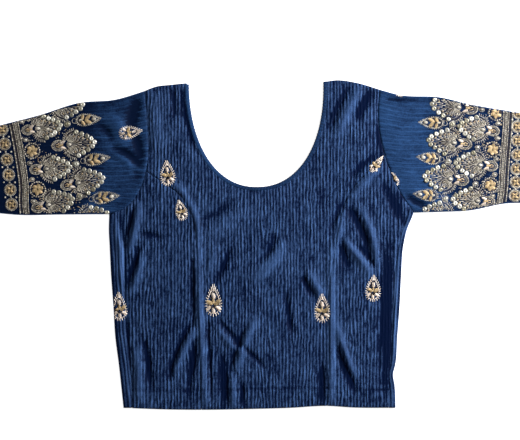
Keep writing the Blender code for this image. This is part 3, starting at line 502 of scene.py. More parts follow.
class Finish:
    """A material with a Principled shader, to which nodes are added by type."""

    def __init__(self, name, **constants):
        self.material = bpy.data.materials.new(name)
        self.material.use_nodes = True
        self.tree = self.material.node_tree
        self.shader = self.tree.nodes["Principled BSDF"]
        for key, value in constants.items():
            self.shader.inputs[key.replace("_", " ")].default_value = value
        self.place = self.add("ShaderNodeTexCoord").outputs["Object"]

    def add(self, kind, settings=None, **links):
        node = self.tree.nodes.new(kind)
        for key, value in (settings or {}).items():
            setattr(node, key, value)
        for key, value in links.items():
            plug(self.tree, node.inputs[key.replace("_", " ")], value)
        return node

    def value(self, name):
        """A value stored on the mesh's points."""
        node = self.add("ShaderNodeAttribute", {"attribute_name": name})
        return Amount(self.tree, node.outputs["Fac"])

    def noise(self, size, detail=2.0, place=None):
        """Noise from 0 to 1 with features of about this size in millimetres."""
        links = {"Vector": place or self.place, "Scale": 1 / (size * MM), "Detail": detail}
        node = self.add("ShaderNodeTexNoise", None, **links)
        return Amount(self.tree, node.outputs["Fac"])

    def stretched(self, x, y, z):
        """The surface's own place with each axis scaled, for a grain that runs one way."""
        node = self.add("ShaderNodeMapping", None, Vector=self.place, Scale=(x, y, z))
        return node.outputs["Vector"]

    def mix(self, share, first, second):
        node = self.add("ShaderNodeMix", {"data_type": "RGBA"})
        for place, value in zip((node.inputs[0], node.inputs[6], node.inputs[7]), (share, first, second)):
            plug(self.tree, place, value)
        return node.outputs[2]

    def colour(self, value):
        plug(self.tree, self.shader.inputs["Base Color"], value)

    def bump(self, height, depth, strength=1.0):
        node = self.add("ShaderNodeBump", None, Height=height, Distance=depth * MM, Strength=strength)
        plug(self.tree, self.shader.inputs["Normal"], node.outputs["Normal"])

    def roughness(self, value):
        plug(self.tree, self.shader.inputs["Roughness"], value)


def shade(*screen):
    """A colour from 0 to 255 as a screen shows it, made linear."""
    linear = [((c / 255 + 0.055) / 1.055) ** 2.4 if c > 10 else c / 255 / 12.92 for c in screen]
    return (*linear, 1.0)


# %% [markdown]
# The cloth is a navy crepe with a soft lustre. The height of each place in the crinkle is stored on
# the mesh with painted light and shade added to it, and the colour follows that value: painted
# shade keeps the valleys nearly black and darkens the folds' hollows, and painted light brightens
# the crests and the folds' tops. A fine noise gives the crepe yarn its grain.

# %% Cloth finishes
# shares of the colour that follow the crinkle's height with its painted light and shade, the slow fading and
# the yarn, and what is taken off
PAINTED_LIGHT_SHARE, FADED_SHARE, YARN_SHARE, CREPE_DARK = 0.82, 0.44, 0.80, 0.60


def crepe(name, shaded_valley, lit_crest):
    """Navy crepe: colour by the stored height and painted light, from painted shade in the valleys to painted
    light on the crests, with slow fading and yarn grain.
    """
    finish = Finish(name, Metallic=0.0, Specular_IOR_Level=0.04, Sheen_Weight=0.05, Sheen_Roughness=0.45)
    finish.shader.inputs["Sheen Tint"].default_value = shade(120, 165, 225)
    lift = finish.value("lift")
    faded = finish.noise(30.0, 3.0)
    yarn = finish.noise(1.5, 2.0)
    share = lift * PAINTED_LIGHT_SHARE + faded * FADED_SHARE + yarn * YARN_SHARE - CREPE_DARK
    finish.colour(finish.mix(share, shaded_valley, lit_crest))
    finish.roughness(0.52 + 0.16 * faded)
    grain = finish.noise(0.55, 1.0, finish.stretched(1.0, 0.45, 1.0))
    finish.bump(grain, 0.22, 0.6)
    return finish.material


# each crepe's first colour is the painted shade of its valleys, and its second the painted light of its
# crests
body_cloth = crepe("navy_crinkled_crepe", shade(0, 13, 44), shade(69, 100, 151))
sleeve_cloth = crepe("navy_sleeve_crepe", shade(3, 17, 44), shade(45, 80, 129))
binding_cloth = crepe("navy_binding_crepe", shade(3, 14, 38), shade(45, 79, 128))
print("cloth finishes:", body_cloth.name, sleeve_cloth.name, binding_cloth.name)

# %% [markdown]
# The three front panels share one height: the layer rests on the back, lofts a little towards its
# middle, and carries the folds. Its crinkle sinks at the seams, where stitching holds the cloth
# down, and is pressed flatter under each sewn motif, on the deep folds and along the turned hem.
# On the left the cloth beside the neck is stretched smooth. With its height, each place also gets a
# value for the colour: the crinkle's height with painted light on that smooth band and on the folds'
# tops, and painted shade in their troughs and along the stitched row.

# %% Height of the front
HEM_STITCH_UP = 25.0
EDGE_ROLL, EDGE_ROLL_WIDTH = 0.7, 2.4
NECK_TUCK = 2.6
# smooth band by the neck: width, fade and painted light; then painted light and shade of folds: fold height
# for a full step, darkest, lightest
SMOOTH_BAND, SMOOTH_BAND_FADE, SMOOTH_BAND_LIGHT = 5.0, 2.5, 0.30
FOLD_TO_LIGHT, FOLD_DARKEST, FOLD_LIGHTEST = 5.0, -0.5, 0.40
# how much of the crinkle is pressed out under a motif, in a stitched row, on a deep fold, by the neck
PRESSED_MOTIF, PRESSED_STITCH, PRESSED_FOLD, PRESSED_NECK = 0.6, 0.55, 0.6, 0.7
# columns: centre x, centre y, length, width, turn from pointing up in degrees
BODY_MOTIFS = [
    (-120.3, 93.6, 33, 19.5, 4),
    (-102.7, 45.5, 27, 15, 14),
    (-182.8, -79.3, 37, 19, 3),
    (-60.5, -71.5, 41, 21, 0),
    (80.6, -81.9, 37, 19.5, 0),
    (146.9, -55.9, 34, 19.5, -3),
    (151.6, 105.2, 26, 8.5, -38),
]


def neck_offset(distance):
    return offset_line(neck, -distance)


def part_between(line, low, high):
    """The stretch of a line between two heights."""
    return line[(line[:, 1] >= low) & (line[:, 1] <= high)]


heights_left = np.arange(-211.0, SEAM_TOP_LEFT)
heights_right = np.arange(-211.0, SEAM_TOP_RIGHT)
front_outline = np.concatenate(
    [
        neck_offset(BINDING_WIDTH),
        through(SHOULDER_LEFT),
        through(SHOULDER_RIGHT),
        part_between(arm_left, SEAM_TOP_LEFT, 210),
        part_between(arm_right, SEAM_TOP_RIGHT, 210),
        np.stack([seam_left(heights_left), heights_left], axis=1),
        np.stack([seam_right(heights_right), heights_right], axis=1),
        hem[(hem[:, 0] > -166) & (hem[:, 0] < 167)],
    ]
)[::2]


def gap_to(outline, x, y):
    """Distance from each place to the nearest point of an outline."""
    flat_x, flat_y = np.ravel(x), np.ravel(y)
    parts = np.array_split(np.arange(len(flat_x)), max(1, len(flat_x) // 3000))
    across, up = outline.T
    near = [np.hypot(flat_x[p, None] - across, flat_y[p, None] - up).min(axis=1) for p in parts]
    return np.concatenate(near).reshape(np.shape(x))


def under_motif(x, y):
    """1 under a sewn motif and 0 away from it, by distance in the motif's own ellipse."""
    cover = np.zeros(np.shape(x))
    for mx, my, length, width, turn in BODY_MOTIFS:
        c, s = math.cos(math.radians(turn)), math.sin(math.radians(turn))
        up = ((y - my) * c - (x - mx) * s) / (length / 2)
        side = ((x - mx) * c + (y - my) * s) / (width / 2)
        cover = np.maximum(cover, smooth_rise(3.0 * (1.15 - np.hypot(up, side))))
    return cover


def front_underside(x, y):
    """Floor of the front layer: its rest height, its loft and the folds, never below the back."""
    gap = gap_to(front_outline, x, y)
    loft = LOFT * smooth_rise(gap / LOFT_REACH)
    return np.maximum(FRONT_Z + loft + folds_at(x, y) * smooth_rise(gap / FOLD_FADE), LOWEST_FRONT), gap


def beyond_neck(x, y):
    """How far a place lies outside the neck edge: the curve's own formula over its slope."""
    turn_c, turn_s = math.cos(NECK_TURN), math.sin(NECK_TURN)
    dx, dy = x - NECK_BOTTOM[0], y - NECK_BOTTOM[1]
    u = np.abs(dx * turn_c + dy * turn_s) / (NECK_WIDTH / 2)
    v = np.clip(1 - (dy * turn_c - dx * turn_s) / NECK_DEPTH, 0, None)
    n = NECK_ROUNDNESS
    slope = n * np.hypot(u ** (n - 1) / (NECK_WIDTH / 2), v ** (n - 1) / NECK_DEPTH)
    return (u**n + v**n - 1) / np.maximum(slope, 1e-4)


def left_half(x):
    """1 on the left of the blouse and 0 from just left of its middle."""
    return smooth_rise((-x - 20) / 50)


def smooth_band(x, y):
    """1 in the smooth band beside the neck's left edge."""
    return smooth_rise((SMOOTH_BAND - beyond_neck(x, y)) / SMOOTH_BAND_FADE) * left_half(x)


def fold_light(x, y):
    """Painted light and shade of a fold: how much lighter or darker its colour is made than flat cloth."""
    return np.clip(folds_at(x, y) / FOLD_TO_LIGHT, FOLD_DARKEST, FOLD_LIGHTEST)


def front_crinkle(x, y):
    """Crinkle of the front, pressed under motifs and uneven along the turned and stitched hem."""
    up = y - hem_y(x)
    row_off = up - HEM_STITCH_UP - 1.5 * soft_noise(x / 40, 0 * x, 21)
    stitched = 0.5 * np.exp(-((row_off / 1.3) ** 2))
    turned_hem = smooth_rise((HEM_STITCH_UP - up) / 4)
    swell = 1 - PRESSED_MOTIF * under_motif(x, y) - PRESSED_STITCH * stitched
    swell = swell * (1 - PRESSED_FOLD * smooth_rise((np.abs(folds_at(x, y)) - 0.6) / 2.4))
    swell = swell * (1 - PRESSED_NECK * smooth_band(x, y))
    return crinkle(x, y) * swell * (1 + 0.25 * turned_hem * soft_noise(x / 5, y / 6, 22)), stitched


def front_height(x, y, seam_gap=None):
    """Outer height of the front, its underside, and the crinkle's share of the height with painted light and
    shade for the colour.
    """
    under, gap = front_underside(x, y)
    ridge, stitched = front_crinkle(x, y)
    near = smooth_rise(gap / 5)
    top = under + FRONT_WALL + ridge * (0.35 + 0.65 * near) - 0.45 * stitched
    if seam_gap is not None:
        top = top - EDGE_ROLL * (1 - smooth_rise(seam_gap / EDGE_ROLL_WIDTH))
    top = top - EDGE_ROLL * (1 - smooth_rise((y - hem_y(x)) / EDGE_ROLL_WIDTH))
    # painted light on raised folds and on the smooth band by the neck, painted shade in troughs and in the
    # stitched row
    light = fold_light(x, y) + SMOOTH_BAND_LIGHT * smooth_band(x, y)
    return top, under, ridge / RIDGE_HEIGHT + light - 0.5 * stitched


print("front height at the middle:", np.round(front_height(np.array([0.0]), np.array([-60.0]))[0], 2), "mm")

# %% [markdown]
# The front is three panels, so that the princess seams shape it without darts. The centre panel
# runs up into both shoulder straps; two groups of columns, one on each side of the neck, keep the
# neck open. Each panel's edge rolls down into its seam, and at the neck the cloth goes on under
# the binding, which wraps it.

# %% Front panels
COLUMNS_PER_PITCH, ROW_STEP = 6, 2.6
SEAM_GAP = 0.1
INNER_TONE = 0.2
neck_tucked = neck_offset(BINDING_WIDTH - NECK_TUCK)
neck_foot = int(neck_tucked[:, 1].argmin())
neck_left_x = reader(neck_tucked[: neck_foot + 1])
neck_right_x = reader(neck_tucked[neck_foot:])
neck_low = float(neck_tucked[neck_foot, 1])


def ridge_columns(low, high):
    """Column numbers, in half pitches, that cover a stretch across."""
    step = 2 / COLUMNS_PER_PITCH
    return np.arange(math.floor((low - 3) / LINE_STEP), math.ceil((high + 3) / LINE_STEP), step)


def centre_left(y):
    return np.where(y < PRINCESS_LEFT[0][1], princess_left_x(y), arm_left_x(y)) + SEAM_GAP


def centre_right(y):
    return np.where(y < PRINCESS_RIGHT[0][1], princess_right_x(y), arm_right_x(y)) - SEAM_GAP


def side_left(y):
    return np.where(y < SEAM_TOP_LEFT, seam_left(y), arm_left_x(y)) + SEAM_GAP


def side_right(y):
    return np.where(y < SEAM_TOP_RIGHT, seam_right(y), arm_right_x(y)) - SEAM_GAP


def front_panel(name, low, high, groups_of, top):
    columns = ridge_columns(low, high)
    groups = groups_of(columns)
    rows = int((np.max(top(np.array([low, high]))) + LOWEST_HEM) / ROW_STEP)
    x, y, gap, faces = cloth_grid(columns, rows, groups, crinkle_line, hem_y, top)
    height, under, lift = front_height(x, y, gap)
    upper, lower = np.stack([x, y, height], 1), np.stack([x, y, under], 1)
    points, shell_faces = shell(upper, lower, faces)
    values = np.concatenate([lift, np.full(len(lift), INNER_TONE)])
    finish = (body_cloth, "crinkled_cloth", [name])
    piece = make_piece(name + "_cloth", points, shell_faces, *finish, lift=values)
    return piece, area_of(x, y, faces), (np.ptp(x) * MM, np.ptp(y) * MM)


def centre_groups(columns):
    middle = int(np.searchsorted(columns, NECK_BOTTOM[0] / LINE_STEP))
    return [
        (0, middle, centre_left, lambda y: np.where(y > neck_low, neck_left_x(y), np.inf)),
        (middle, len(columns), lambda y: np.where(y > neck_low, neck_right_x(y), -np.inf), centre_right),
    ]


front_pieces = {
    "front_center": front_panel("front_center", -152, 162, centre_groups, shoulder_y),
    "front_side_left": front_panel(
        "front_side_left",
        -178,
        -74,
        lambda columns: [(0, len(columns), side_left, lambda y: princess_left_x(y) - SEAM_GAP)],
        lambda x: 0 * x + PRINCESS_LEFT[0][1],
    ),
    "front_side_right": front_panel(
        "front_side_right",
        85,
        192,
        lambda columns: [(0, len(columns), lambda y: princess_right_x(y) + SEAM_GAP, side_right)],
        lambda x: 0 * x + PRINCESS_RIGHT[0][1],
    ),
}

# %% [markdown]
# The back lies underneath and turns over at both sides to meet the side fronts a little in from
# the folds. It is drawn as it was cut, unrolled, and then each place is carried round the fold: an
# arc whose middle keeps the length of the cloth, then back along the top as a narrow strip.

# %% Back, folded over at both sides
SHOULDER_THICK, SHOULDER_REACH, BACK_HEM_SHORT = 2.5, 8.0, 1.3
ARC_COLUMNS, STRIP_REACH, FLOOR_COLUMNS = 9, 28.0, 46
FOLD_MIDDLE = (FOLD_OUTER + FOLD_INNER) / 2
# width of a strip column, and the painted shade beside the left fold
STRIP_COLUMN, LEFT_EDGE_SHADE = RIDGE_PITCH / COLUMNS_PER_PITCH, 0.45


def start_left(y):
    return fold_left(np.minimum(y, UNDERARM_LEFT)) + FOLD_OUTER


def start_right(y):
    return fold_right(np.minimum(y, UNDERARM_RIGHT)) - FOLD_OUTER


def unrolled_left(x, y):
    return start_left(y) - FOLD_LENGTH - (x - start_left(y))


def unrolled_right(x, y):
    return start_right(y) + FOLD_LENGTH + (start_right(y) - x)


def back_column(k, y):
    """Below 0 a column lies that far before the left fold, past 1 that far beyond the right one."""
    left, right = start_left(y), start_right(y)
    inside = left + np.clip(k, 0.0, 1.0) * (right - left)
    return inside + np.minimum(k, 0.0) + np.maximum(k - 1.0, 0.0)


def folded(u, y, radius, floor_z, top_z):
    """Flat on the floor, then round an arc of a radius, then flat again on top."""
    left, right = start_left(y), start_right(y)
    past = np.maximum(np.maximum(left - u, u - right), 0.0)
    way = np.where(u < left, -1.0, 1.0)
    start = np.where(u < left, left, right)
    turn = np.clip(past / FOLD_MIDDLE, 0.0, math.pi)
    on_top = past > FOLD_LENGTH - 1e-6
    x = np.where(on_top, start - way * (past - FOLD_LENGTH), start + way * radius * np.sin(turn))
    x = np.where(past > 0, x, u)
    z = np.where(past > 0, FOLD_OUTER - radius * np.cos(turn), floor_z)
    return np.stack([x, y, np.where(on_top, top_z, z)], axis=1)


def strip_height(x, y):
    """Outer height of the strips, with their welts and crinkle, and the value for their colour: the crinkle
    with painted light and shade, and painted shade beside the left fold.
    """
    from_edge = np.minimum(np.abs(x - start_left(y)), np.abs(x - start_right(y)))
    from_seam = np.minimum(np.abs(x - seam_left(y)), np.abs(x - seam_right(y)))
    phase = (from_edge / LINE_STEP + 1) / 2 + 0.2 * soft_noise(x / 5, y / 22, 31)
    wave = (0.5 + 0.5 * np.cos(2 * math.pi * phase)) ** 0.8 * (0.75 + 0.25 * soft_noise(x / 4, y / 15, 32))
    ridge = RIDGE_HEIGHT * wave * smooth_rise(from_edge / 4) * (1 - PRESSED_MOTIF * under_motif(x, y))
    welt = folds_at(x, y) * smooth_rise(np.minimum(from_seam, from_edge) / (FOLD_FADE / 2))
    roll = EDGE_ROLL * (1 - smooth_rise(from_seam / EDGE_ROLL_WIDTH))
    # painted shade along the left fold, and the folds' painted light and shade
    shade_side = LEFT_EDGE_SHADE * np.exp(-((from_edge / 4.0) ** 2)) * (x < 0)
    light = fold_light(x, y) - shade_side
    return FRONT_Z + WALL + np.maximum(ridge + welt, 0.0) - roll, wave + light


back_neck = neck_offset(BACK_NECK_SET + BINDING_WIDTH)
back_foot = int(back_neck[:, 1].argmin())
back_neck_left, back_neck_right = reader(back_neck[: back_foot + 1]), reader(back_neck[back_foot:])
back_low = float(back_neck[back_foot, 1])
arc = np.linspace(0.0, FOLD_LENGTH, ARC_COLUMNS)[1:]
strip = FOLD_LENGTH + np.arange(1, int(STRIP_REACH / STRIP_COLUMN)) * STRIP_COLUMN
wrap = np.concatenate([arc, strip])
back_columns = np.concatenate([-wrap[::-1], np.linspace(0, 1, FLOOR_COLUMNS), 1 + wrap])
fold_middle = len(strip) + len(arc) // 2
back_middle = len(wrap) + FLOOR_COLUMNS // 2
far_middle = len(back_columns) - fold_middle


def back_bottom(u):
    shorter = smooth_rise((u + 178) / 10) * smooth_rise((176 - u) / 10)
    return hem_y(np.clip(u, -175, 175)) + BACK_HEM_SHORT * shorter


def strip_left_limit(y):
    """The strip's edge along the armhole. It meets the seam where the strip ends."""
    seam = seam_left(np.minimum(y, SEAM_TOP_LEFT)) - SEAM_GAP
    return np.where(y < SEAM_TOP_LEFT, np.minimum(arm_left_x(y), seam), seam)


def strip_right_limit(y):
    seam = seam_right(np.minimum(y, SEAM_TOP_RIGHT)) + SEAM_GAP
    return np.where(y < SEAM_TOP_RIGHT, np.maximum(arm_right_x(y), seam), seam)


back_groups = [
    (
        0,
        fold_middle,
        lambda y: unrolled_left(seam_left(np.minimum(y, SEAM_TOP_LEFT)) - SEAM_GAP, y),
        lambda y: np.where(y > UNDERARM_LEFT + 0.5, unrolled_left(strip_left_limit(y), y), np.inf),
    ),
    (
        fold_middle,
        back_middle,
        lambda y: np.where(y > UNDERARM_LEFT + 0.5, arm_left_x(y) + SEAM_GAP, -np.inf),
        lambda y: np.where(y > back_low, back_neck_left(y), np.inf),
    ),
    (
        back_middle,
        far_middle,
        lambda y: np.where(y > back_low, back_neck_right(y), -np.inf),
        lambda y: np.where(y > UNDERARM_RIGHT + 0.5, arm_right_x(y) - SEAM_GAP, np.inf),
    ),
    (
        far_middle,
        len(back_columns),
        lambda y: np.where(y > UNDERARM_RIGHT + 0.5, unrolled_right(strip_right_limit(y), y), -np.inf),
        lambda y: unrolled_right(seam_right(np.minimum(y, SEAM_TOP_RIGHT)) + SEAM_GAP, y),
    ),
]
back_rows = int(BACK_HEIGHT / ROW_STEP)
back_grid = cloth_grid(back_columns, back_rows, back_groups, back_column, back_bottom, shoulder_y)
u, y, _, faces = back_grid
shoulders = np.concatenate([through(SHOULDER_LEFT), through(SHOULDER_RIGHT)])
thick = WALL + (SHOULDER_THICK - WALL) * smooth_rise(1 - gap_to(shoulders, u, y) / SHOULDER_REACH)
on_top = folded(u, y, FOLD_OUTER, 0.0, 0.0)
# the strip's second value is painted light and shade for its colour
strip_top, strip_painted_light = strip_height(on_top[:, 0], y)
outer = folded(u, y, FOLD_OUTER, 0.0, strip_top)
inner = folded(u, y, FOLD_INNER, thick, FRONT_Z)
points, shell_faces = shell(outer, inner, faces[:, ::-1])
back_painted_light = np.where(outer[:, 2] > FRONT_Z, strip_painted_light, 0.5)
back_values = np.concatenate([back_painted_light, back_painted_light * 0])
back_finish = (body_cloth, "crinkled_cloth", ["back"])
back = make_piece("back_cloth", points, shell_faces, *back_finish, lift=back_values)

# %% [markdown]
# Each sleeve is a flattened tube. A place on it is a blend of its four edge lines, a Coons patch:
# s runs from the armhole to the cuff and t from the lower edge to the upper. The tube is one ring
# of points after another, with a round fold at both edges. The same patch run backwards finds s
# and t for any place seen from above, so the sewing can lie on the cloth.

# %% Sleeve form
SLEEVE_RIDGES, SLEEVE_RIDGE_HEIGHT = 26, 0.7
SLEEVE_STATIONS, UNDERSIDE_COLUMNS, TURN_COLUMNS = 92, 24, 5
# the lowest rise of the upper layer, and the painted shade on the cloth among the embroidery
LOWEST_RISE, SEWN_PAINTED_SHADE = -1.3, 0.35


class SleeveForm:
    """The smooth form of one sleeve, in millimetres. way is -1 for the left and 1 for the right.

    sewn_from is the share of its length where the embroidery begins, and tone is painted light on its cloth.
    """

    def __init__(self, way, arm, top_places, low_places, sewn_from, tone):
        self.way, self.sewn_from, self.tone = way, sewn_from, tone
        self.arm = offset_line(arm[::-1], way * SEAM_GAP)
        self.arm_at = lengths(self.arm)
        self.stations = np.linspace(0.0, 1.0, SLEEVE_STATIONS)
        low_edge = along(through(low_places), self.stations)
        top_edge = along(through(top_places), self.stations)
        self.low_out, self.top_out = self.outward(low_edge, -way), self.outward(top_edge, way)
        for out, share, end in ((self.low_out, 0.02, 0), (self.top_out, 0.98, -1)):
            away = self.arm[end] - along(self.arm, np.array(share))
            blend = smooth_rise(self.stations / 0.12)[:, None]
            out[:] = away / np.linalg.norm(away) * (1 - blend) + out * blend
            out /= np.linalg.norm(out, axis=1)[:, None]
        low_edge[0], top_edge[0] = self.arm[0], self.arm[-1]
        self.low = low_edge - FOLD_OUTER * self.low_out
        self.top = top_edge - FOLD_OUTER * self.top_out
        self.length = lengths(low_edge)[-1]
        self.width = np.linalg.norm(self.top - self.low, axis=1)

    def outward(self, edge, side):
        ahead = np.gradient(edge, axis=0)
        ahead /= np.linalg.norm(ahead, axis=1)[:, None]
        return side * np.stack([-ahead[:, 1], ahead[:, 0]], axis=1)

    def edge_at(self, s, line):
        return np.stack([np.interp(s, self.stations, line[:, i]) for i in range(2)], axis=-1)

    def place(self, s, t):
        """Coons patch: opposite edges blended both ways, less the blend of the corners."""
        s, t = np.broadcast_arrays(np.asarray(s, float), np.asarray(t, float))
        at = FOLD_OUTER + t * (self.arm_at[-1] - 2 * FOLD_OUTER)
        arm = np.stack([np.interp(at, self.arm_at, self.arm[:, i]) for i in range(2)], axis=-1)
        v, w = s[..., None], t[..., None]
        cuff = (1 - w) * self.low[-1] + w * self.top[-1]
        edges = (1 - w) * self.edge_at(s, self.low) + w * self.edge_at(s, self.top)
        corners = (1 - v) * ((1 - w) * self.low[0] + w * self.top[0]) + v * cuff
        return (1 - v) * arm + v * cuff + edges - corners

    def find(self, x, y):
        """s and t of places seen from above, by eight steps of Newton's method."""
        s, t = np.full(np.shape(x), 0.5), np.full(np.shape(x), 0.5)
        target = np.stack([x, y], axis=-1)
        for _ in range(8):
            off = target - self.place(s, t)
            ds = (self.place(s + 1e-3, t) - self.place(s - 1e-3, t)) / 2e-3
            dt = (self.place(s, t + 1e-3) - self.place(s, t - 1e-3)) / 2e-3
            turn = ds[..., 0] * dt[..., 1] - ds[..., 1] * dt[..., 0]
            s = s + (off[..., 0] * dt[..., 1] - off[..., 1] * dt[..., 0]) / turn
            t = t + (ds[..., 0] * off[..., 1] - ds[..., 1] * off[..., 0]) / turn
            s, t = np.clip(s, -0.1, 1.1), np.clip(t, -0.2, 1.2)
        return s, t

    def sewn(self, s):
        """How thickly the cloth is sewn over: 0 near the armhole, 1 under the broad embroidery."""
        return smooth_rise((s - self.sewn_from) / 0.15)

    def lift(self, s, t):
        """Ridges that run along the sleeve: one wave for each, bent by noise, flatter under the sewing."""
        x, y = np.moveaxis(self.place(s, t), -1, 0)
        bent = 0.16 * soft_noise(s * 9, t * 22, 41) + 0.10 * soft_noise(s * 30, t * 40, 42)
        phase = SLEEVE_RIDGES * t + 0.5 + bent
        half = (0.5 + 0.5 * np.cos(4 * math.pi * phase + 1.2 * soft_noise(s * 14, t * 30, 46)))
        wave = 0.45 * (0.5 + 0.5 * np.cos(2 * math.pi * phase)) ** 0.8 + 0.55 * half
        swell = 0.7 + 0.3 * soft_noise(s * 16, t * SLEEVE_RIDGES * 1.5, 43)
        fine = 0.16 * soft_noise(x / 6, y / 1.8, 44) + 0.10 * soft_noise(x / 2.4, y / 1.5, 45)
        edge = np.minimum(t, 1 - t) * np.interp(s, self.stations, self.width)
        return SLEEVE_RIDGE_HEIGHT * (wave * swell + fine) * smooth_rise(edge / 7) * (1 - 0.55 * self.sewn(s))

    def folds(self, s, t):
        """Folds of the upper layer, none at its edges or at the armhole."""
        x, y = np.moveaxis(self.place(s, t), -1, 0)
        side = np.minimum(t, 1 - t) * np.interp(s, self.stations, self.width)
        return folds_at(x, y) * smooth_rise(side / FOLD_FADE) * smooth_rise(s * self.length / 12)

    def rise(self, s, t):
        """Loft and folds of the upper layer, which can't sink through the lower one."""
        side = np.minimum(t, 1 - t) * np.interp(s, self.stations, self.width)
        near = smooth_rise(side / LOFT_REACH) * smooth_rise(s * self.length / 20)
        above = LOFT * near + self.folds(s, t) - LOWEST_RISE
        return LOWEST_RISE + 0.5 * (above + np.sqrt(above**2 + 0.3))

    def height(self, x, y):
        """Outer height at places seen from above, round the folds too, and how far past the edge each is."""
        s, t = self.find(x, y)
        inside = np.clip(t, 0.0, 1.0)
        past = np.abs(t - inside) * np.interp(s, self.stations, self.width)
        flat = 2 * FOLD_OUTER + self.rise(s, inside) + self.lift(s, inside)
        round_z = FOLD_OUTER + np.sqrt(np.maximum(FOLD_OUTER**2 - past**2, 0.0))
        return np.where(past > 0, round_z, flat), past, s

    def ring(self, t_top, t_low, radius, lift):
        """Every station's ring: along the top, round the upper fold, back on the floor, round the lower."""
        s = self.stations[:, None]
        top_xy = self.place(s, t_top[None, :])
        low_xy = self.place(s, t_low[None, ::-1])
        top_z = FOLD_OUTER + radius + self.rise(s, t_top[None, :]) + lift
        low_z = np.full(low_xy.shape[:2], FOLD_OUTER - radius)
        turn = np.linspace(math.pi, 0.0, TURN_COLUMNS + 2)[1:-1]
        reach, drop = radius * np.sin(turn), FOLD_OUTER - radius * np.cos(turn)
        at_top = self.top[:, None] + self.top_out[:, None] * reach[None, :, None]
        at_low = self.low[:, None] + self.low_out[:, None] * reach[None, ::-1, None]
        xy = np.concatenate([top_xy, at_top, low_xy, at_low], axis=1)
        bend = np.broadcast_to(drop, at_top.shape[:2])
        z = np.concatenate([top_z, bend, low_z, bend[:, ::-1]], axis=1)
        return np.concatenate([xy, z[..., None]], axis=2)


# tone is painted light over a whole sleeve: the right one is made lighter, and the left one darker as painted
# shade
left_form = SleeveForm(-1, arm_left, SLEEVE_TOP_LEFT, SLEEVE_LOW_LEFT, sewn_from=0.22, tone=0.08)
right_form = SleeveForm(1, arm_right, SLEEVE_TOP_RIGHT, SLEEVE_LOW_RIGHT, sewn_from=0.24, tone=0.30)
print("sleeve lengths:", round(left_form.length), round(right_form.length), "mm")

# %% [markdown]
# The sleeve's mesh closes four surfaces into one wall: the outer ring, the inner ring and a flat
# rim at the armhole and at the cuff. Both rings have the same points round them, so the rims are
# plain rows of quads.

# %% Sleeves
def ring_faces(stations, count, base):
    """Quads between neighbouring rings."""
    i, j = np.meshgrid(np.arange(stations - 1), np.arange(count), indexing="ij")
    a, b = base + i * count + j, base + i * count + (j + 1) % count
    return np.stack([a, b, b + count, a + count], axis=-1).reshape(-1, 4)


def make_sleeve(name, form):
    t_top = np.linspace(0.0, 1.0, SLEEVE_RIDGES * COLUMNS_PER_PITCH + 1)
    t_low = np.linspace(0.0, 1.0, UNDERSIDE_COLUMNS)
    lift = form.lift(form.stations[:, None], t_top[None, :])
    roll = EDGE_ROLL * (1 - smooth_rise(form.stations * form.length / EDGE_ROLL_WIDTH))[:, None]
    outer = form.ring(t_top, t_low, FOLD_OUTER, lift - roll)
    inner = form.ring(t_top, t_low, FOLD_INNER, 0.0)
    count = outer.shape[1]
    base = outer.shape[0] * count
    j = np.arange(count)
    ends = [np.stack([j, j + base, (j + 1) % count + base, (j + 1) % count], axis=1)]
    last = (SLEEVE_STATIONS - 1) * count
    ends.append((ends[0] + last)[:, ::-1])
    walls = [ring_faces(SLEEVE_STATIONS, count, 0), ring_faces(SLEEVE_STATIONS, count, base)[:, ::-1]]
    faces = np.concatenate([*walls, *ends])
    if form.way > 0:
        faces = faces[:, ::-1]
    # The colour value is painted light and shade: the sleeve's tone, painted light on ridge crests and raised
    # folds, and painted shade in hollows and among the embroidery.
    painted_light = np.full((SLEEVE_STATIONS, count), 0.5)
    s, t = form.stations[:, None], t_top[None, :]
    folds = np.clip(form.folds(s, t) / 3.2, -0.8, 0.3)
    ridges = 0.8 * lift / SLEEVE_RIDGE_HEIGHT
    painted_light[:, : len(t_top)] = form.tone + ridges + folds - SEWN_PAINTED_SHADE * form.sewn(s)
    values = np.concatenate([painted_light.ravel(), np.full(base, INNER_TONE)])
    points = np.concatenate([outer.reshape(-1, 3), inner.reshape(-1, 3)])
    piece = make_piece(name + "_cloth", points, faces, sleeve_cloth, "sleeve_cloth", [name], lift=values)
    around = 2 * (form.width + FOLD_OUTER * math.pi)
    length = (lengths(form.low)[-1] + lengths(form.top)[-1]) / 2
    area = float(np.trapz(around, form.stations) * length * MM * MM)
    return piece, area, (float(around.max()) * MM, length * MM)


sleeve_forms = {"sleeve_left": left_form, "sleeve_right": right_form}
sleeve_pieces = {name: make_sleeve(name, form) for name, form in sleeve_forms.items()}
print("sleeve areas:", [round(area, 4) for _, area, _ in sleeve_pieces.values()])

# %% [markdown]
# The neck is bound with a narrow strip folded over the cut edge. It could be a bevelled curve,
# but a profile carried along the neck line lets the strip swell and pinch between its stitches.

# %% Neck bindings
BINDING_SIDES, BINDING_SQUARENESS, KNOB_PITCH = 14, 0.7, 3.9
BINDING_SINK, BINDING_RISE = 0.6, 2.0


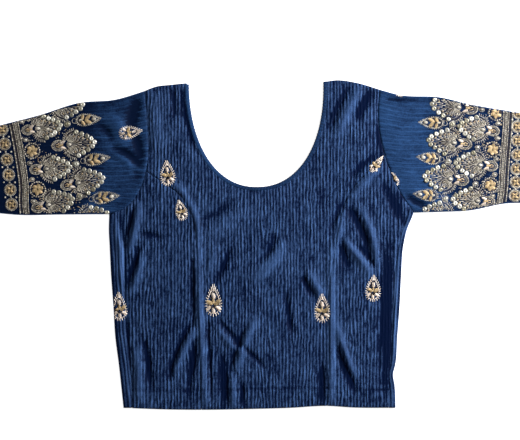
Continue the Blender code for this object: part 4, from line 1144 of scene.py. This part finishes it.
def binding(name, neck_set, z_low, z_high):
    """A rounded band: a flattened oval carried along the neck line, pinched every few millimetres."""
    width = BINDING_WIDTH
    turn = np.linspace(0, 2 * math.pi, BINDING_SIDES, endpoint=False)
    middle = (z_low + z_high) / 2
    at = lengths(neck)
    knob = 0.5 + 0.5 * np.sin(2 * math.pi * at / KNOB_PITCH + 0.6 * soft_noise(at / 9, 0 * at, 52))
    pinch = 0.84 + 0.13 * knob + 0.03 * soft_noise(at / 7, 0 * at, 51)
    rows = []
    for a in turn:
        c, s = math.cos(a), math.sin(a)
        across = width / 2 - width / 2 * np.sign(c) * abs(c) ** BINDING_SQUARENESS
        lift = (z_high - z_low) / 2 * np.sign(s) * abs(s) ** BINDING_SQUARENESS
        place = neck_offset(neck_set + across + 0.4 * (1 - knob))
        rows.append(np.concatenate([place, (middle + lift * pinch)[:, None]], axis=1))
    points = np.stack(rows, axis=1)
    count = len(neck)
    quads = ring_faces(count, BINDING_SIDES, 0)
    faces = np.concatenate([quads[:, [0, 1, 2]], quads[:, [0, 2, 3]]])
    j = np.arange(1, BINDING_SIDES - 1)
    last = (count - 1) * BINDING_SIDES
    caps = [np.stack([0 * j, j + 1, j], 1), np.stack([0 * j + last, j + last, j + 1 + last], 1)]
    faces = np.concatenate([faces, *caps])
    # The colour value is painted light and shade: painted light on each knob, on the top of the band and on
    # the left of the neck, painted shade below and on the right.
    lit = left_half(neck[:, 0])[:, None]
    lift = (0.3 * knob[:, None] - 0.05 + 0.25 * np.sin(turn)[None, :] + 0.45 * lit).ravel()
    finish = (binding_cloth, "binding_cloth", [name])
    make_piece(name + "_cloth", points.reshape(-1, 3), faces, *finish, lift=lift)


binding("neck_binding_front", 0.0, FRONT_Z - BINDING_SINK, FRONT_Z + BINDING_RISE)
binding("neck_binding_back", BACK_NECK_SET, 0.0, BINDING_THICK)

# %% [markdown]
# Embroidery is thousands of short stitches. A painted texture would stay flat when the light moves,
# so each stitch, bead and sequin is a small closed shape, copied along lines and laid on the cloth
# below it. One row of numbers holds a copy: its middle, its heading, its length, width and height.

# %% Needlework
# a stitch: share along, share aside and height at each corner
GRAIN = [(-0.5, 0, 0), (-0.3, -0.5, 0), (-0.3, 0, 1), (-0.3, 0.5, 0)]
GRAIN = np.array(GRAIN + [(0.3, -0.5, 0), (0.3, 0, 1), (0.3, 0.5, 0), (0.5, 0, 0)])
GRAIN_FACES = [(0, 1, 2), (0, 2, 3), (0, 3, 1), (1, 5, 2), (1, 4, 5), (2, 6, 3), (2, 5, 6), (3, 4, 1)]
GRAIN_FACES = np.array(GRAIN_FACES + [(3, 6, 4), (7, 5, 4), (7, 6, 5), (7, 4, 6)])
# profiles: radius as a share of half the width, height as a share of the height
BEAD_PROFILE = [(0.0, 0.0), (0.8, 0.05), (1.0, 0.45), (0.62, 0.85), (0.0, 1.0)]
SEQUIN_PROFILE = [(0.16, 0.0), (1.0, 0.0), (1.0, 0.3), (0.62, 1.0), (0.16, 0.55)]
STITCH_WIDTH, STITCH_HEIGHT = 0.8, 0.6
# how far a stitch sinks in, how unevenly sewing is placed, how a sequin leans and lies, and the lowest level
SINK, UNEVEN, LEAN, SEQUIN_REST, LOWEST = 0.12, 0.07, 0.16, 0.25, 0.05


def turned(profile, sides, closed):
    """A profile turned about the upright axis. A closed one, like a sequin's, has a hole."""
    angle = np.linspace(0, 2 * math.pi, sides, endpoint=False)
    radius, height = np.array(profile).T
    out = radius[:, None] / 2
    points = np.stack(np.broadcast_arrays(out * np.cos(angle), out * np.sin(angle), height[:, None]), -1)
    i, j = np.meshgrid(np.arange(len(profile) - (not closed)), np.arange(sides), indexing="ij")
    a, b = i * sides + j, i * sides + (j + 1) % sides
    c, d = (b + sides) % (len(profile) * sides), (a + sides) % (len(profile) * sides)
    faces = np.stack([a, b, c, a, c, d], -1).reshape(-1, 3)
    points, same = np.unique(points.reshape(-1, 3).round(9), axis=0, return_inverse=True)
    return points, whole_faces(same.ravel()[faces])


class Needlework:
    """What is sewn on one sheet of cloth. ground gives height, and whether a place is on the sheet."""

    def __init__(self, name, ground, seed):
        self.name, self.ground, self.rows = name, ground, {}
        self.draw = np.random.default_rng(seed)

    def add(self, kind, centre, heading, length, width, height):
        centre = np.atleast_2d(centre)
        sizes = [np.broadcast_to(v, len(centre)) for v in (length, width, height)]
        heading = np.broadcast_to(heading, centre.shape)
        self.rows.setdefault(kind, []).append(np.column_stack([centre, heading, *sizes]))

    def stitch(self, kind, start, end, width=STITCH_WIDTH, height=STITCH_HEIGHT):
        start, end = np.broadcast_arrays(np.atleast_2d(start), np.atleast_2d(end))
        length = np.linalg.norm(end - start, axis=1)
        self.add(kind, (start + end) / 2, (end - start) / length[:, None], length, width, height)

    def run(self, kind, line, step=2.4, width=STITCH_WIDTH, height=STITCH_HEIGHT, skip=0.0):
        """Stitches nose to tail along a line. skip leaves a share of each step open."""
        count = max(1, round(lengths(line)[-1] / step))
        first = np.arange(count) / count
        self.stitch(kind, along(line, first), along(line, first + (1 - skip) / count), width, height)

    def fringe(self, kind, line, reach, step=1.5, lean=0.3, width=STITCH_WIDTH):
        """Stitches that stand out to the left of a line, leaning forward along it."""
        places = along(line, np.linspace(0, 1, max(2, round(lengths(line)[-1] / step))))
        ahead = np.gradient(places, axis=0)
        ahead /= np.linalg.norm(ahead, axis=1)[:, None]
        out = np.stack([-ahead[:, 1], ahead[:, 0]], axis=1)
        self.stitch(kind, places, places + reach * (out + lean * ahead), width)

    def petal(self, kind, centre, heading, length, width, height=0.9):
        """Satin stitches side by side across an oval, each leaning towards its tip."""
        heading = np.asarray(heading) / np.hypot(*heading)
        side = np.array([-heading[1], heading[0]])
        share = np.linspace(-1, 1, max(3, round(length / 0.8)) + 2)[1:-1, None]
        reach = width / 2 * np.sqrt(1 - share**2)
        middle = np.asarray(centre) + heading * share * length / 2
        slant = heading * reach * 0.45
        self.stitch(kind, middle - side * reach - slant, middle + side * reach + slant, 0.9, height)

    def bead(self, centre, heading, length, width, height=1.5, kind="beads"):
        heading = np.asarray(heading, float)
        self.add(kind, centre, heading / np.hypot(*heading), length, width, height)

    def make(self, kind, template, faces, finish, slot, stiff):
        """One mesh of all copies of one kind, each point laid on the cloth, or all at once if stiff."""
        rows = np.concatenate(self.rows[kind])
        for end in (-0.5, 0.0, 0.5):
            reach = rows[:, :2] + end * rows[:, 4:5] * rows[:, 2:4]
            rows = rows[self.ground(reach[:, 0], reach[:, 1])[1]]
        centre, heading, size = rows[:, None, :2], rows[:, None, 2:4], rows[:, None, 4:]
        centre = centre + self.draw.normal(0.0, UNEVEN, centre.shape)
        side = np.stack([-heading[..., 1], heading[..., 0]], axis=-1)
        share_along, share_aside, up = template.T
        ahead, aside = share_along * size[..., 0], share_aside * size[..., 1]
        xy = centre + heading * ahead[..., None] + side * aside[..., None]
        if stiff:
            tilt = self.draw.normal(0.0, LEAN, (len(rows), 1, 2))
            rest = self.ground(centre[..., 0], centre[..., 1])[0] + SEQUIN_REST
            rest = rest + ((xy - centre) * tilt).sum(axis=-1)
        else:
            rest = self.ground(xy[..., 0], xy[..., 1])[0]
        level = np.maximum(rest - SINK + up * size[..., 2], LOWEST)
        points = np.concatenate([xy, level[..., None]], axis=-1).reshape(-1, 3)
        all_faces = (faces[None] + np.arange(len(rows))[:, None, None] * len(template)).reshape(-1, 3)
        tone = np.repeat(self.draw.uniform(0, 1, len(rows)), len(template))
        return make_piece(f"{self.name}_{kind}", points, all_faces, finish, slot, tone=tone)


bead_shape = turned(BEAD_PROFILE, 8, False)
sequin_shape = turned(SEQUIN_PROFILE, 12, True)
print("triangles in a stitch, a bead, a sequin:", len(GRAIN_FACES), len(bead_shape[1]), len(sequin_shape[1]))

# %% [markdown]
# Metal thread is a fine strip wound on yarn: it glints, but softly, and no two stitches have the
# same tone. So the silver and gold are only partly metallic, and every thread takes its tone from a
# number stored for each stitch. Sequins are smoother and more metallic, and beads are a milky cream.

# %% Threads, sequins and beads
def lustre(name, dull, bright, metallic, roughness, twist):
    """Between a dull and a bright colour by each copy's own tone, with a fine twisted grain."""
    finish = Finish(name, Metallic=metallic)
    grain = finish.noise(0.35, 1.0)
    share = finish.value("tone") * 0.8 + grain * 0.4 - 0.1
    finish.colour(finish.mix(share, shade(*dull), shade(*bright)))
    finish.roughness(roughness + 0.15 * finish.noise(0.8, 1.0))
    finish.bump(grain, 0.12, twist)
    return finish.material


# columns: kind, finish, dull, bright, metallic, roughness, twist, slot
THREADS = [
    ("silver", "silver_thread", (116, 108, 92), (244, 236, 218), 0.3, 0.36, 0.5, "silver_thread"),
    ("gold", "gold_thread", (176, 150, 110), (232, 208, 164), 0.2, 0.42, 0.5, "cream_thread"),
    ("cream", "cream_thread", (236, 214, 194), (255, 246, 236), 0.05, 0.5, 0.5, "cream_thread"),
    # umber is a dark thread; its flat rows in the gaps between the silver stitches are also painted shade for
    # the shade that falls there
    ("umber", "umber_thread", (20, 16, 16), (66, 52, 38), 0.0, 0.55, 0.5, "cream_thread"),
    ("beads", "cream_beads", (150, 144, 132), (232, 224, 208), 0.1, 0.38, 0.15, "sequins"),
    ("knots", "gold_knots", (84, 72, 44), (150, 132, 84), 0.2, 0.4, 0.5, "cream_thread"),
    ("sequins", "silver_sequins", (128, 122, 98), (240, 238, 228), 0.5, 0.28, 0.1, "sequins"),
]
NEEDLE_KINDS = {kind: (lustre(*values), slot) for kind, *values, slot in THREADS}
NEEDLE_KINDS["navy"] = (body_cloth, "crinkled_cloth")
# a kind that isn't here is made of stitches
SOLID_KINDS = {"beads": bead_shape, "knots": bead_shape, "sequins": sequin_shape}


def finish_work(work):
    """The pieces of one sheet's needlework, one for each kind that it has."""
    return [
        work.make(kind, *SOLID_KINDS.get(kind, (GRAIN, GRAIN_FACES)), finish, slot, kind == "sequins")
        for kind, (finish, slot) in NEEDLE_KINDS.items()
        if kind in work.rows
    ]


print("needle kinds:", list(NEEDLE_KINDS))

# %% [markdown]
# A motif is drawn in its own frame: a runs from 0 at its base to 1 at its tip, and w lies aside,
# both as shares of its length. The drop is the outline that the leaves and the small motifs share.
# The large fan is a chain of sequins about a feathered heart, above a tulip in a small cup, with
# short scattered seed stitches at its foot. Sizes of stitches and petals are in millimetres.

# %% Motifs
# columns: a, w of each sequin on one side, from the tip down
FAN_SEQUINS = [(0.96, 0.0), (0.905, 0.088), (0.80, 0.155), (0.695, 0.212), (0.58, 0.262)]
SEQUIN_SIZE, FAN_HEART, DROP_HEART, SEEDS = 6.3, 0.40, 0.36, 56
# rows of the fan's cup: share of its size, thread, stitch width, stitch height
CUP_ROWS = [(1.0, "silver", 1.3, 0.8), (0.84, "umber", 1.6, 0.3), (0.66, "silver", 0.9, 0.6)]


class Motif:
    """A motif's frame, and the lines drawn in it."""

    def __init__(self, base, tip):
        self.base, self.run = np.array(base, float), np.array(tip, float) - np.array(base, float)
        self.length = float(np.hypot(*self.run))
        self.ahead = self.run / self.length
        self.side = np.array([-self.run[1], self.run[0]])

    def at(self, a, w):
        return self.base + np.multiply.outer(a, self.run) + np.multiply.outer(w, self.side)

    def heading(self, degrees):
        c, s = math.cos(math.radians(degrees)), math.sin(math.radians(degrees))
        return self.ahead * c + np.array([-self.ahead[1], self.ahead[0]]) * s

    def drop(self, width, scale=1.0):
        """Half width (width / 2) t (1 - t^2) / 0.385 at a = t^2: round at its base, pointed at its tip."""
        t = np.linspace(-1, 1, 121)
        w = width / self.length / 2 * t * (1 - t * t) / 0.385
        return self.at(DROP_HEART + scale * (t * t - DROP_HEART), scale * w)

    def curve(self, places):
        return self.at(*through(np.array(places, float) * 100, 1.0).T / 100)


def circle(centre, radius, start=0.0, end=360.0, squash=1.0, count=60):
    angle = np.radians(np.linspace(start, end, count))
    return np.asarray(centre) + radius * np.stack([np.cos(angle), squash * np.sin(angle)], axis=1)


def ticks(work, kind, outer, inner, count, width=STITCH_WIDTH):
    share = (np.arange(count) + 0.5) / count
    work.stitch(kind, along(inner, share), along(outer, share), width)


def flower(work, kind, centre, radius, petals, turn=0.0):
    for k in range(petals):
        angle = math.radians(turn + 360 * k / petals)
        out = np.array([math.cos(angle), math.sin(angle)])
        work.petal(kind, centre + out * radius * 0.58, out, radius * 0.84, radius * 0.88)
    work.bead(centre, (1, 0), radius * 0.3, radius * 0.3, kind="knots")


def leaf(work, base, tip, width):
    """A silver drop with ticks outside it, a cream bead at its tip, golden petals and a small bud."""
    m = Motif(base, tip)
    ticks(work, "silver", m.drop(width, 1.06), m.drop(width, 0.84), 32, 0.9)
    work.run("silver", m.drop(width, 0.84), 2.0, 1.1)
    work.run("umber", m.drop(width, 0.68), 2.0, 1.8, 0.3)
    work.bead(m.at(0.71, 0.0), m.ahead, 6.4, 4.8)
    for way in (-1, 1):
        work.petal("gold", m.at(0.49, way * 0.09), m.heading(way * 34), 8.6, 6.0)
        work.petal("gold", m.at(0.29, way * 0.11), m.heading(way * 66), 7.0, 5.2)
    work.petal("gold", m.at(0.42, 0.0), m.ahead, 5.6, 4.0)
    work.bead(m.at(0.37, 0.0), m.ahead, 2.4, 2.4, kind="knots")
    work.petal("silver", m.at(0.20, 0.0), m.ahead, 5.0, 4.0)
    work.run("silver", circle(m.at(-0.03, 0.0), 3.2), 1.6)


def fan(work, base, tip):
    """Sequins round a feathered heart, flanked by fringed leaves, over a tulip in a cup."""
    m = Motif(base, tip)
    heart = m.at(FAN_HEART, 0.0)
    places = [m.at(a, side * w) for a, w in FAN_SEQUINS for side in ((1,) if w == 0 else (1, -1))]
    for place in places:
        inward = (heart - place) / np.hypot(*(heart - place))
        across = np.array([-inward[1], inward[0]])
        work.bead(place, inward, SEQUIN_SIZE, SEQUIN_SIZE, 0.8, kind="sequins")
        work.bead(place, inward, 1.3, 1.3, 1.3, kind="knots")
        work.stitch("umber", place + inward * 3.0, place + inward * 6.6, 2.2, 0.4)
        work.stitch("gold", place + inward * 4.4, place + inward * 7.4, 1.3, 0.9)
        for way in (-1, 1):
            start, end = inward * 2.2 + across * way * 2.5, inward * 7.2 + across * way * 1.3
            work.stitch("silver", place + start, place + end, 1.0)
    relative = np.array(FAN_SEQUINS) - [FAN_HEART, 0.0]
    at_angle = np.degrees(np.arctan2(relative[:, 1], relative[:, 0]))
    reach_of = np.hypot(*relative.T) * m.length - 7.2
    for k, turn in enumerate(np.linspace(-112, 112, 37)):
        out = m.heading(turn)
        reach = float(np.interp(abs(turn), [*at_angle, 80, 112], [*reach_of, 12.0, 9.0]))
        if k % 2 == 0:
            work.stitch("umber", heart + out * 3.4, heart + out * reach, 2.0, 0.3)
            work.stitch("silver", heart + out * 3.6, heart + out * (0.5 * reach), 1.0)
            work.stitch("silver", heart + out * (0.5 * reach + 1.4), heart + out * (reach - 0.4), 1.0)
        else:
            work.stitch("silver", heart + out * 0.42 * reach, heart + out * 0.72 * reach, 1.0)
            work.stitch("silver", heart + out * (0.72 * reach + 0.9), heart + out * (reach + 1.6), 1.0)
    work.bead(heart, m.ahead, 6.0, 4.2, 1.8)
    work.run("silver", circle(heart, 3.6), 1.7, 0.9)
    for way in (1, -1):
        outer = m.curve([(0.29, way * 0.11), (0.33, way * 0.20), (0.41, way * 0.275), (0.52, way * 0.31)])
        inner = m.curve([(0.30, way * 0.07), (0.36, way * 0.15), (0.44, way * 0.225), (0.52, way * 0.255)])
        work.fringe("silver", outer, way * 3.3, 2.2, way * 0.35, 0.9)
        work.run("silver", outer, 2.0, 1.0)
        work.run("umber", (outer + along(inner, np.linspace(0, 1, len(outer)))) / 2, 2.0, 1.6, 0.3)
        work.run("silver", inner, 2.0, 1.1)
        work.petal("cream", m.at(0.25, way * 0.062), m.heading(way * 24), 7.0, 4.4, 1.1)
        work.stitch("gold", m.at(0.08, way * 0.01), m.at(0.19, way * 0.045), 1.3)
    work.petal("gold", m.at(0.205, 0.0), m.ahead, 6.6, 3.6)
    angle = np.radians(np.linspace(-128, 128, 60))
    for reach, kind, width, height in CUP_ROWS:
        cup = m.at(0.155 - 0.155 * reach * np.cos(angle), 0.118 * reach * np.sin(angle))
        work.run(kind, cup, 2.0, width, height)
        if reach == 1.0:
            work.fringe("silver", cup[::-1], 2.4, 2.2, 0.0, 0.9)


def seeds(work, base, tip):
    """Short scattered stitches that fill the ground on both sides of a fan's foot."""
    m = Motif(base, tip)
    share = work.draw.uniform(-0.04, 0.42, SEEDS)
    aside = work.draw.uniform(0.15, 0.42, SEEDS) * work.draw.choice([-1, 1], SEEDS)
    turn = np.radians(work.draw.uniform(-60, 60, SEEDS))
    c, s = np.cos(turn), np.sin(turn)
    out = np.stack([c * m.ahead[0] - s * m.ahead[1], s * m.ahead[0] + c * m.ahead[1]], axis=1)
    centre, silver = m.at(share, aside), work.draw.uniform(0, 1, SEEDS) < 0.6
    work.stitch("silver", (centre - out)[silver], (centre + out)[silver], 0.9)
    work.stitch("gold", (centre - out)[~silver], (centre + out)[~silver], 0.9)


def rosette(work, centre):
    """A golden flower in a dashed ring."""
    centre = np.array(centre, float)
    work.run("umber", circle(centre, 6.0), 2.0, 3.0, 0.3)
    flower(work, "gold", centre, 7.4, 6, 15.0)
    work.run("silver", circle(centre, 9.8), 3.1, 2.0, 1.1, 0.2)


def ringed_oval(work, centre, squash=1.0):
    """A thick ticked ring round a golden bud."""
    centre = np.array(centre, float)
    ticks(work, "silver", circle(centre, 8.7, squash=squash), circle(centre, 6.0, squash=squash), 26, 1.4)
    work.run("gold", circle(centre, 5.7, squash=squash), 1.9, 1.3)
    work.run("umber", circle(centre, 4.0, squash=squash), 1.9, 2.4, 0.3)
    flower(work, "gold", centre, 4.6, 4, 45.0)


def small_motif(work, x, y, length, width, turn):
    """A ticked drop filled with a bud, golden side petals and a fan of pale petals at its base."""
    up = np.array([-math.sin(math.radians(turn)), math.cos(math.radians(turn))])
    middle = np.array([x, y])
    m = Motif(middle - up * length / 2, middle + up * length / 2)
    size = length / 38
    ticks(work, "cream", m.drop(width, 1.10), m.drop(width, 0.78), 27, 1.1)
    work.run("cream", m.drop(width, 0.80), 2.0, 1.2)
    work.petal("cream", m.at(0.84, 0.0), m.ahead, 4.6 * size, 3.0 * size, 1.0)
    work.petal("cream", m.at(0.64, 0.0), m.ahead, 7.4 * size, 6.2 * size, 1.2)
    for way in (-1, 1):
        work.stitch("umber", m.at(0.75, way * 0.01), m.at(0.73, way * 0.08), 1.5, 0.8)
        work.stitch("umber", m.at(0.54, way * 0.05), m.at(0.58, way * 0.14), 1.7, 0.8)
        work.petal("gold", m.at(0.42, way * 0.12), m.heading(way * 58), 9.2 * size, 6.8 * size, 1.2)
        work.petal("cream", m.at(0.25, way * 0.15), m.heading(way * 130), 7.4 * size, 5.6 * size, 1.1)
    work.petal("gold", m.at(0.46, 0.0), m.ahead, 6.4 * size, 4.4 * size, 1.2)
    work.petal("cream", m.at(0.17, 0.0), m.ahead, 6.6 * size, 5.6 * size, 1.1)
    for turn_out in (-90, -152, 152, 90):
        out = m.heading(turn_out)
        work.stitch("umber", m.at(0.33, 0.0) + out * 1.0 * size, m.at(0.33, 0.0) + out * 4.6 * size, 1.2, 1.6)


print("a fan has", 2 * len(FAN_SEQUINS) - 1, "sequins")

# %% [markdown]
# The sleeves carry a deep border: pointed fans in two staggered rows that look towards the body,
# leaves between their tips, flowers between their bases, a ruled band, and a row of ringed buds.
# Every place below was measured on the photograph. What crosses the sleeve's edge is cut there.

# %% Embroidery of the sleeves
# columns: base x, base y, tip x, tip y
FANS_LEFT = [
    (-286.0, 178.1, -228.2, 182.7),
    (-270.4, 128.1, -212.6, 133.9),
    (-258.7, 76.0, -201.5, 87.8),
    (-249.6, 27.3, -192.4, 39.0),
    (-309.4, 148.2, -256.8, 156.0),
    (-299.0, 97.5, -244.4, 101.4),
    (-296.4, 46.8, -241.0, 60.5),
]
FANS_RIGHT = [
    (282.8, 176.2, 220.3, 183.3),
    (274.9, 130.0, 216.2, 136.5),
    (270.8, 83.2, 211.0, 89.7),
    (264.6, 36.4, 207.3, 42.2),
    (310.7, 146.9, 256.1, 154.7),
    (308.5, 101.9, 251.6, 106.6),
    (305.0, 55.9, 248.3, 59.8),
]
LEAVES_LEFT = [(-239.8, 161.2, -206.0, 164.5), (-228.8, 109.2, -194.0, 113.8), (-217.8, 59.8, -182.3, 64.4)]
LEAVES_RIGHT = [(238.9, 158.2, 204.8, 159.4), (234.8, 111.2, 202.5, 114.7), (231.4, 63.7, 197.9, 66.6)]
# columns: x, y
SEQUINS_LEFT = [(-250.2, 157.3), (-238.6, 105.3), (-234.0, 63.1)]
SEQUINS_RIGHT = [(249.6, 156.5), (244.1, 108.3), (240.5, 60.7)]
ROSETTES_LEFT = [(-303.5, 171.5), (-295.8, 122.2), (-288.6, 72.2)]
ROSETTES_RIGHT = [(306.8, 171.6), (302.1, 124.0), (299.0, 77.5)]
BEADS_LEFT = [
    (-276.0, 150.6), (-267.7, 98.9), (-309.5, 160.0), (-304.2, 136.5),
    (-299.0, 106.0), (-295.8, 85.2), (-293.8, 56.6),
]
BEADS_RIGHT = [
    (288.2, 175.6), (282.6, 126.9), (279.5, 79.7), (309.1, 157.7),
    (308.0, 138.5), (306.8, 111.2), (304.5, 91.5), (301.6, 63.7),
]
BUDS_LEFT = [
    (-335.0, 150.0), (-331.6, 131.0), (-328.6, 110.8),
    (-326.4, 91.2), (-324.2, 71.5), (-322.6, 52.5),
]
BUDS_RIGHT = [
    (335.4, 171.6), (334.1, 153.6), (334.1, 135.6), (333.8, 117.0),
    (332.8, 98.8), (332.2, 81.4), (331.0, 64.0),
]
# body-side edge of the ruled band, from low to high
BAND_LEFT = [
    (-298.0, 34.0), (-299.6, 43.0), (-300.6, 80.8), (-305.0, 112.0),
    (-308.9, 135.2), (-313.3, 157.3), (-317.5, 176.0),
]
BAND_RIGHT = [
    (303.0, 40.0), (306.2, 52.0), (308.5, 65.8),
    (310.6, 98.0), (314.9, 152.1), (316.8, 184.0),
]
# columns: distance from that edge, thread, stitch width, stitch length, height
BAND_ROWS = [
    (0.7, "silver", 1.5, 2.2, 1.1),
    (1.9, "umber", 1.4, 2.4, 0.3),
    (3.1, "silver", 1.2, 1.6, 0.7),
    (4.2, "silver", 1.0, 2.6, 0.6),
    (5.3, "silver", 1.2, 1.5, 0.8),
    (6.4, "umber", 1.2, 2.4, 0.4),
    (7.4, "silver", 1.2, 1.7, 0.8),
    (8.8, "umber", 1.6, 2.4, 0.3),
    (10.2, "umber", 1.6, 2.4, 0.3),
    (11.8, "silver", 1.7, 2.2, 1.2),
]
# columns: centre x, centre y, length, width, turn from pointing up in degrees
SLEEVE_MOTIFS_LEFT = [(-168.0, 146.3, 30, 17, -80)]
SLEEVE_MOTIFS_RIGHT = [(171.6, 87.5, 24, 11, 34), (178.0, 200.5, 26, 14, 80)]
LEFT_BORDER = (FANS_LEFT, LEAVES_LEFT, SEQUINS_LEFT, ROSETTES_LEFT, BEADS_LEFT, BUDS_LEFT, BAND_LEFT)
RIGHT_BORDER = (FANS_RIGHT, LEAVES_RIGHT, SEQUINS_RIGHT, ROSETTES_RIGHT, BEADS_RIGHT, BUDS_RIGHT, BAND_RIGHT)
# distance from the middle of the two lines that close the border, near the cuff
CLOSING_LINES = (350.0, 356.0)
LEAF_WIDTH, ROUND_SEWN, CUFF_BARE = 16.6, 0.45, 0.99


def sleeve_ground(form):
    """Height of a sleeve's upper side, and whether a place is on it and not past the round of its fold."""

    def ground(x, y):
        z, past, s = form.height(x, y)
        return z, (past < FOLD_OUTER - ROUND_SEWN) & (s > 0.0) & (s < CUFF_BARE)

    return ground


def embroider(work, way, fans, leaves, singles, rosettes, beads, buds, band):
    """The whole border of one sleeve, from the fans' tips to the ringed buds."""
    for row in fans:
        fan(work, row[:2], row[2:])
        seeds(work, row[:2], row[2:])
    for row in leaves:
        leaf(work, row[:2], row[2:], LEAF_WIDTH)
    for place in singles:
        work.bead(place, (1, 0), SEQUIN_SIZE, SEQUIN_SIZE, 0.8, kind="sequins")
        work.bead(place, (1, 0), 1.3, 1.3, 1.3, kind="knots")
        work.run("silver", circle(place, 4.1), 1.8, 0.8)
    for place in rosettes:
        rosette(work, place)
    for place in beads:
        work.bead(place, (1, 0.1), 4.6, 3.0)
        work.run("silver", circle(place, 3.4, squash=0.75), 1.7, 0.9)
    for place in buds:
        ringed_oval(work, place)
    edge = through(band)
    for distance, kind, width, step, height in BAND_ROWS:
        work.run(kind, offset_line(edge, -way * distance), step, width, height)
    between = (np.array(buds[:-1]) + np.array(buds[1:])) / 2
    for reach, size in ((-7.2, 2.6), (0.0, 2.2), (7.2, 2.4)):
        work.bead(between + [way * reach, 0], (1, 0), size, size, 1.2)


def sew_sleeve(name, form, seed, border, motifs):
    """The border, the lines that close it and the small drops of one sleeve, made into pieces."""
    work = Needlework(name, sleeve_ground(form), seed)
    embroider(work, form.way, *border)
    for x in CLOSING_LINES:
        line = np.array([(form.way * (x - 4), 25.0), (form.way * x, 100.0), (form.way * (x + 1), 185.0)])
        work.run("silver", line, 2.2, 1.4, 1.0)
    for row in motifs:
        small_motif(work, *row)
    return finish_work(work)


left_needlework = sew_sleeve("sleeve_left", left_form, 61, LEFT_BORDER, SLEEVE_MOTIFS_LEFT)
right_needlework = sew_sleeve("sleeve_right", right_form, 62, RIGHT_BORDER, SLEEVE_MOTIFS_RIGHT)

# %% [markdown]
# The body carries a few small drops that point up, worked in cream thread with golden petals. A
# narrow one lies beside the right armhole seam, and the left side fold cuts another. Last come the
# plain stitches: the row above the hem, and the small stitches beside the neck binding.

# %% Small motifs and plain stitches
HEM_STITCH, HEM_STEP, NECK_STITCH_STEP, NECK_STITCH_OUT = 2.6, 3.3, 3.0, 1.3
PLAIN_WIDTH, PLAIN_HEIGHT = 0.8, 0.5


def front_ground(x, y):
    """Height of the front or, beyond its side seam, of the strip that the back brings round."""
    z = np.where(x < seam_left(y), strip_height(x, y)[0], front_height(x, y)[0])
    inside = (x > fold_left(y) + 0.8) & ((y < SEAM_TOP_RIGHT) | (x < arm_right_x(y) - 0.6))
    return z, inside & ((y < SEAM_TOP_LEFT) | (x > arm_left_x(y) + 0.6))


front_work = Needlework("front_center", front_ground, 63)
for row in BODY_MOTIFS:
    small_motif(front_work, *row)
hem_across = np.linspace(-171.0, 170.0, 300)
hem_row = np.stack([hem_across, hem_y(hem_across) + HEM_STITCH_UP], axis=1)
neck_row = neck_offset(BINDING_WIDTH + NECK_STITCH_OUT)
front_work.run("navy", hem_row, HEM_STEP, PLAIN_WIDTH, PLAIN_HEIGHT, 1 - HEM_STITCH / HEM_STEP)
front_work.run("navy", neck_row, NECK_STITCH_STEP, PLAIN_WIDTH, PLAIN_HEIGHT, 0.25)
front_needlework = finish_work(front_work)

# %% [markdown]
# The picture is taken from straight above. The floor is a white table lit softly from within, so
# the cloth lies on it with hardly a shadow. The main light is a soft box low on the right, so that
# it rakes across the ridges; a broad light above and the white surroundings fill the hollows.

# %% Camera, floor and light
VIEW_WIDTH, VIEW_CENTRE_Y, CAMERA_HEIGHT, SENSOR = 0.676, 0.0325, 3.0, 36.0
FLOOR_REACH, FLOOR_GLOW, ROOM_LIGHT = 4.0, 0.85, 0.13
WHITE = (1.0, 1.0, 1.0, 1.0)


def aim(thing, place, target):
    thing.location = place
    thing.rotation_mode = "QUATERNION"
    thing.rotation_quaternion = (Vector(target) - Vector(place)).to_track_quat("-Z", "Y")


lens = bpy.data.cameras.new("camera")
lens.sensor_width = SENSOR
lens.lens = SENSOR * CAMERA_HEIGHT / VIEW_WIDTH
lens.clip_end = 20.0
camera = bpy.data.objects.new("camera", lens)
bpy.context.scene.collection.objects.link(camera)
aim(camera, (0, VIEW_CENTRE_Y, CAMERA_HEIGHT), (0, VIEW_CENTRE_Y, 0))
bpy.context.scene.camera = camera


def soft_box(name, place, size, power):
    light = bpy.data.lights.new(name, "AREA")
    light.shape, light.size, light.energy = "SQUARE", size, power
    made = bpy.data.objects.new(name, light)
    bpy.context.scene.collection.objects.link(made)
    aim(made, place, (0, 0, 0))


soft_box("raking_light", (1.30, 0.55, 0.80), 0.6, 52.0)
soft_box("broad_light", (0.90, 0.50, 3.20), 2.0, 11.0)

paper = Finish("white_floor", Roughness=0.9, Emission_Strength=FLOOR_GLOW)
paper.shader.inputs["Base Color"].default_value = (0.93, 0.93, 0.93, 1.0)
paper.shader.inputs["Emission Color"].default_value = WHITE
floor_mesh = bpy.data.meshes.new("floor")
corners = [(FLOOR_REACH * across, FLOOR_REACH * up, 0) for across, up in ((-1, -1), (1, -1), (1, 1), (-1, 1))]
floor_mesh.from_pydata(corners, [], [(0, 1, 2, 3)])
floor_mesh.materials.append(paper.material)
floor = bpy.data.objects.new("floor", floor_mesh)
bpy.context.scene.collection.objects.link(floor)

world = bpy.data.worlds.new("white_room")
world.use_nodes = True
world.node_tree.nodes["Background"].inputs["Color"].default_value = WHITE
world.node_tree.nodes["Background"].inputs["Strength"].default_value = ROOM_LIGHT
bpy.context.scene.world = world
bpy.context.scene.view_settings.view_transform = "Standard"
print("lens", round(lens.lens, 1), "mm")
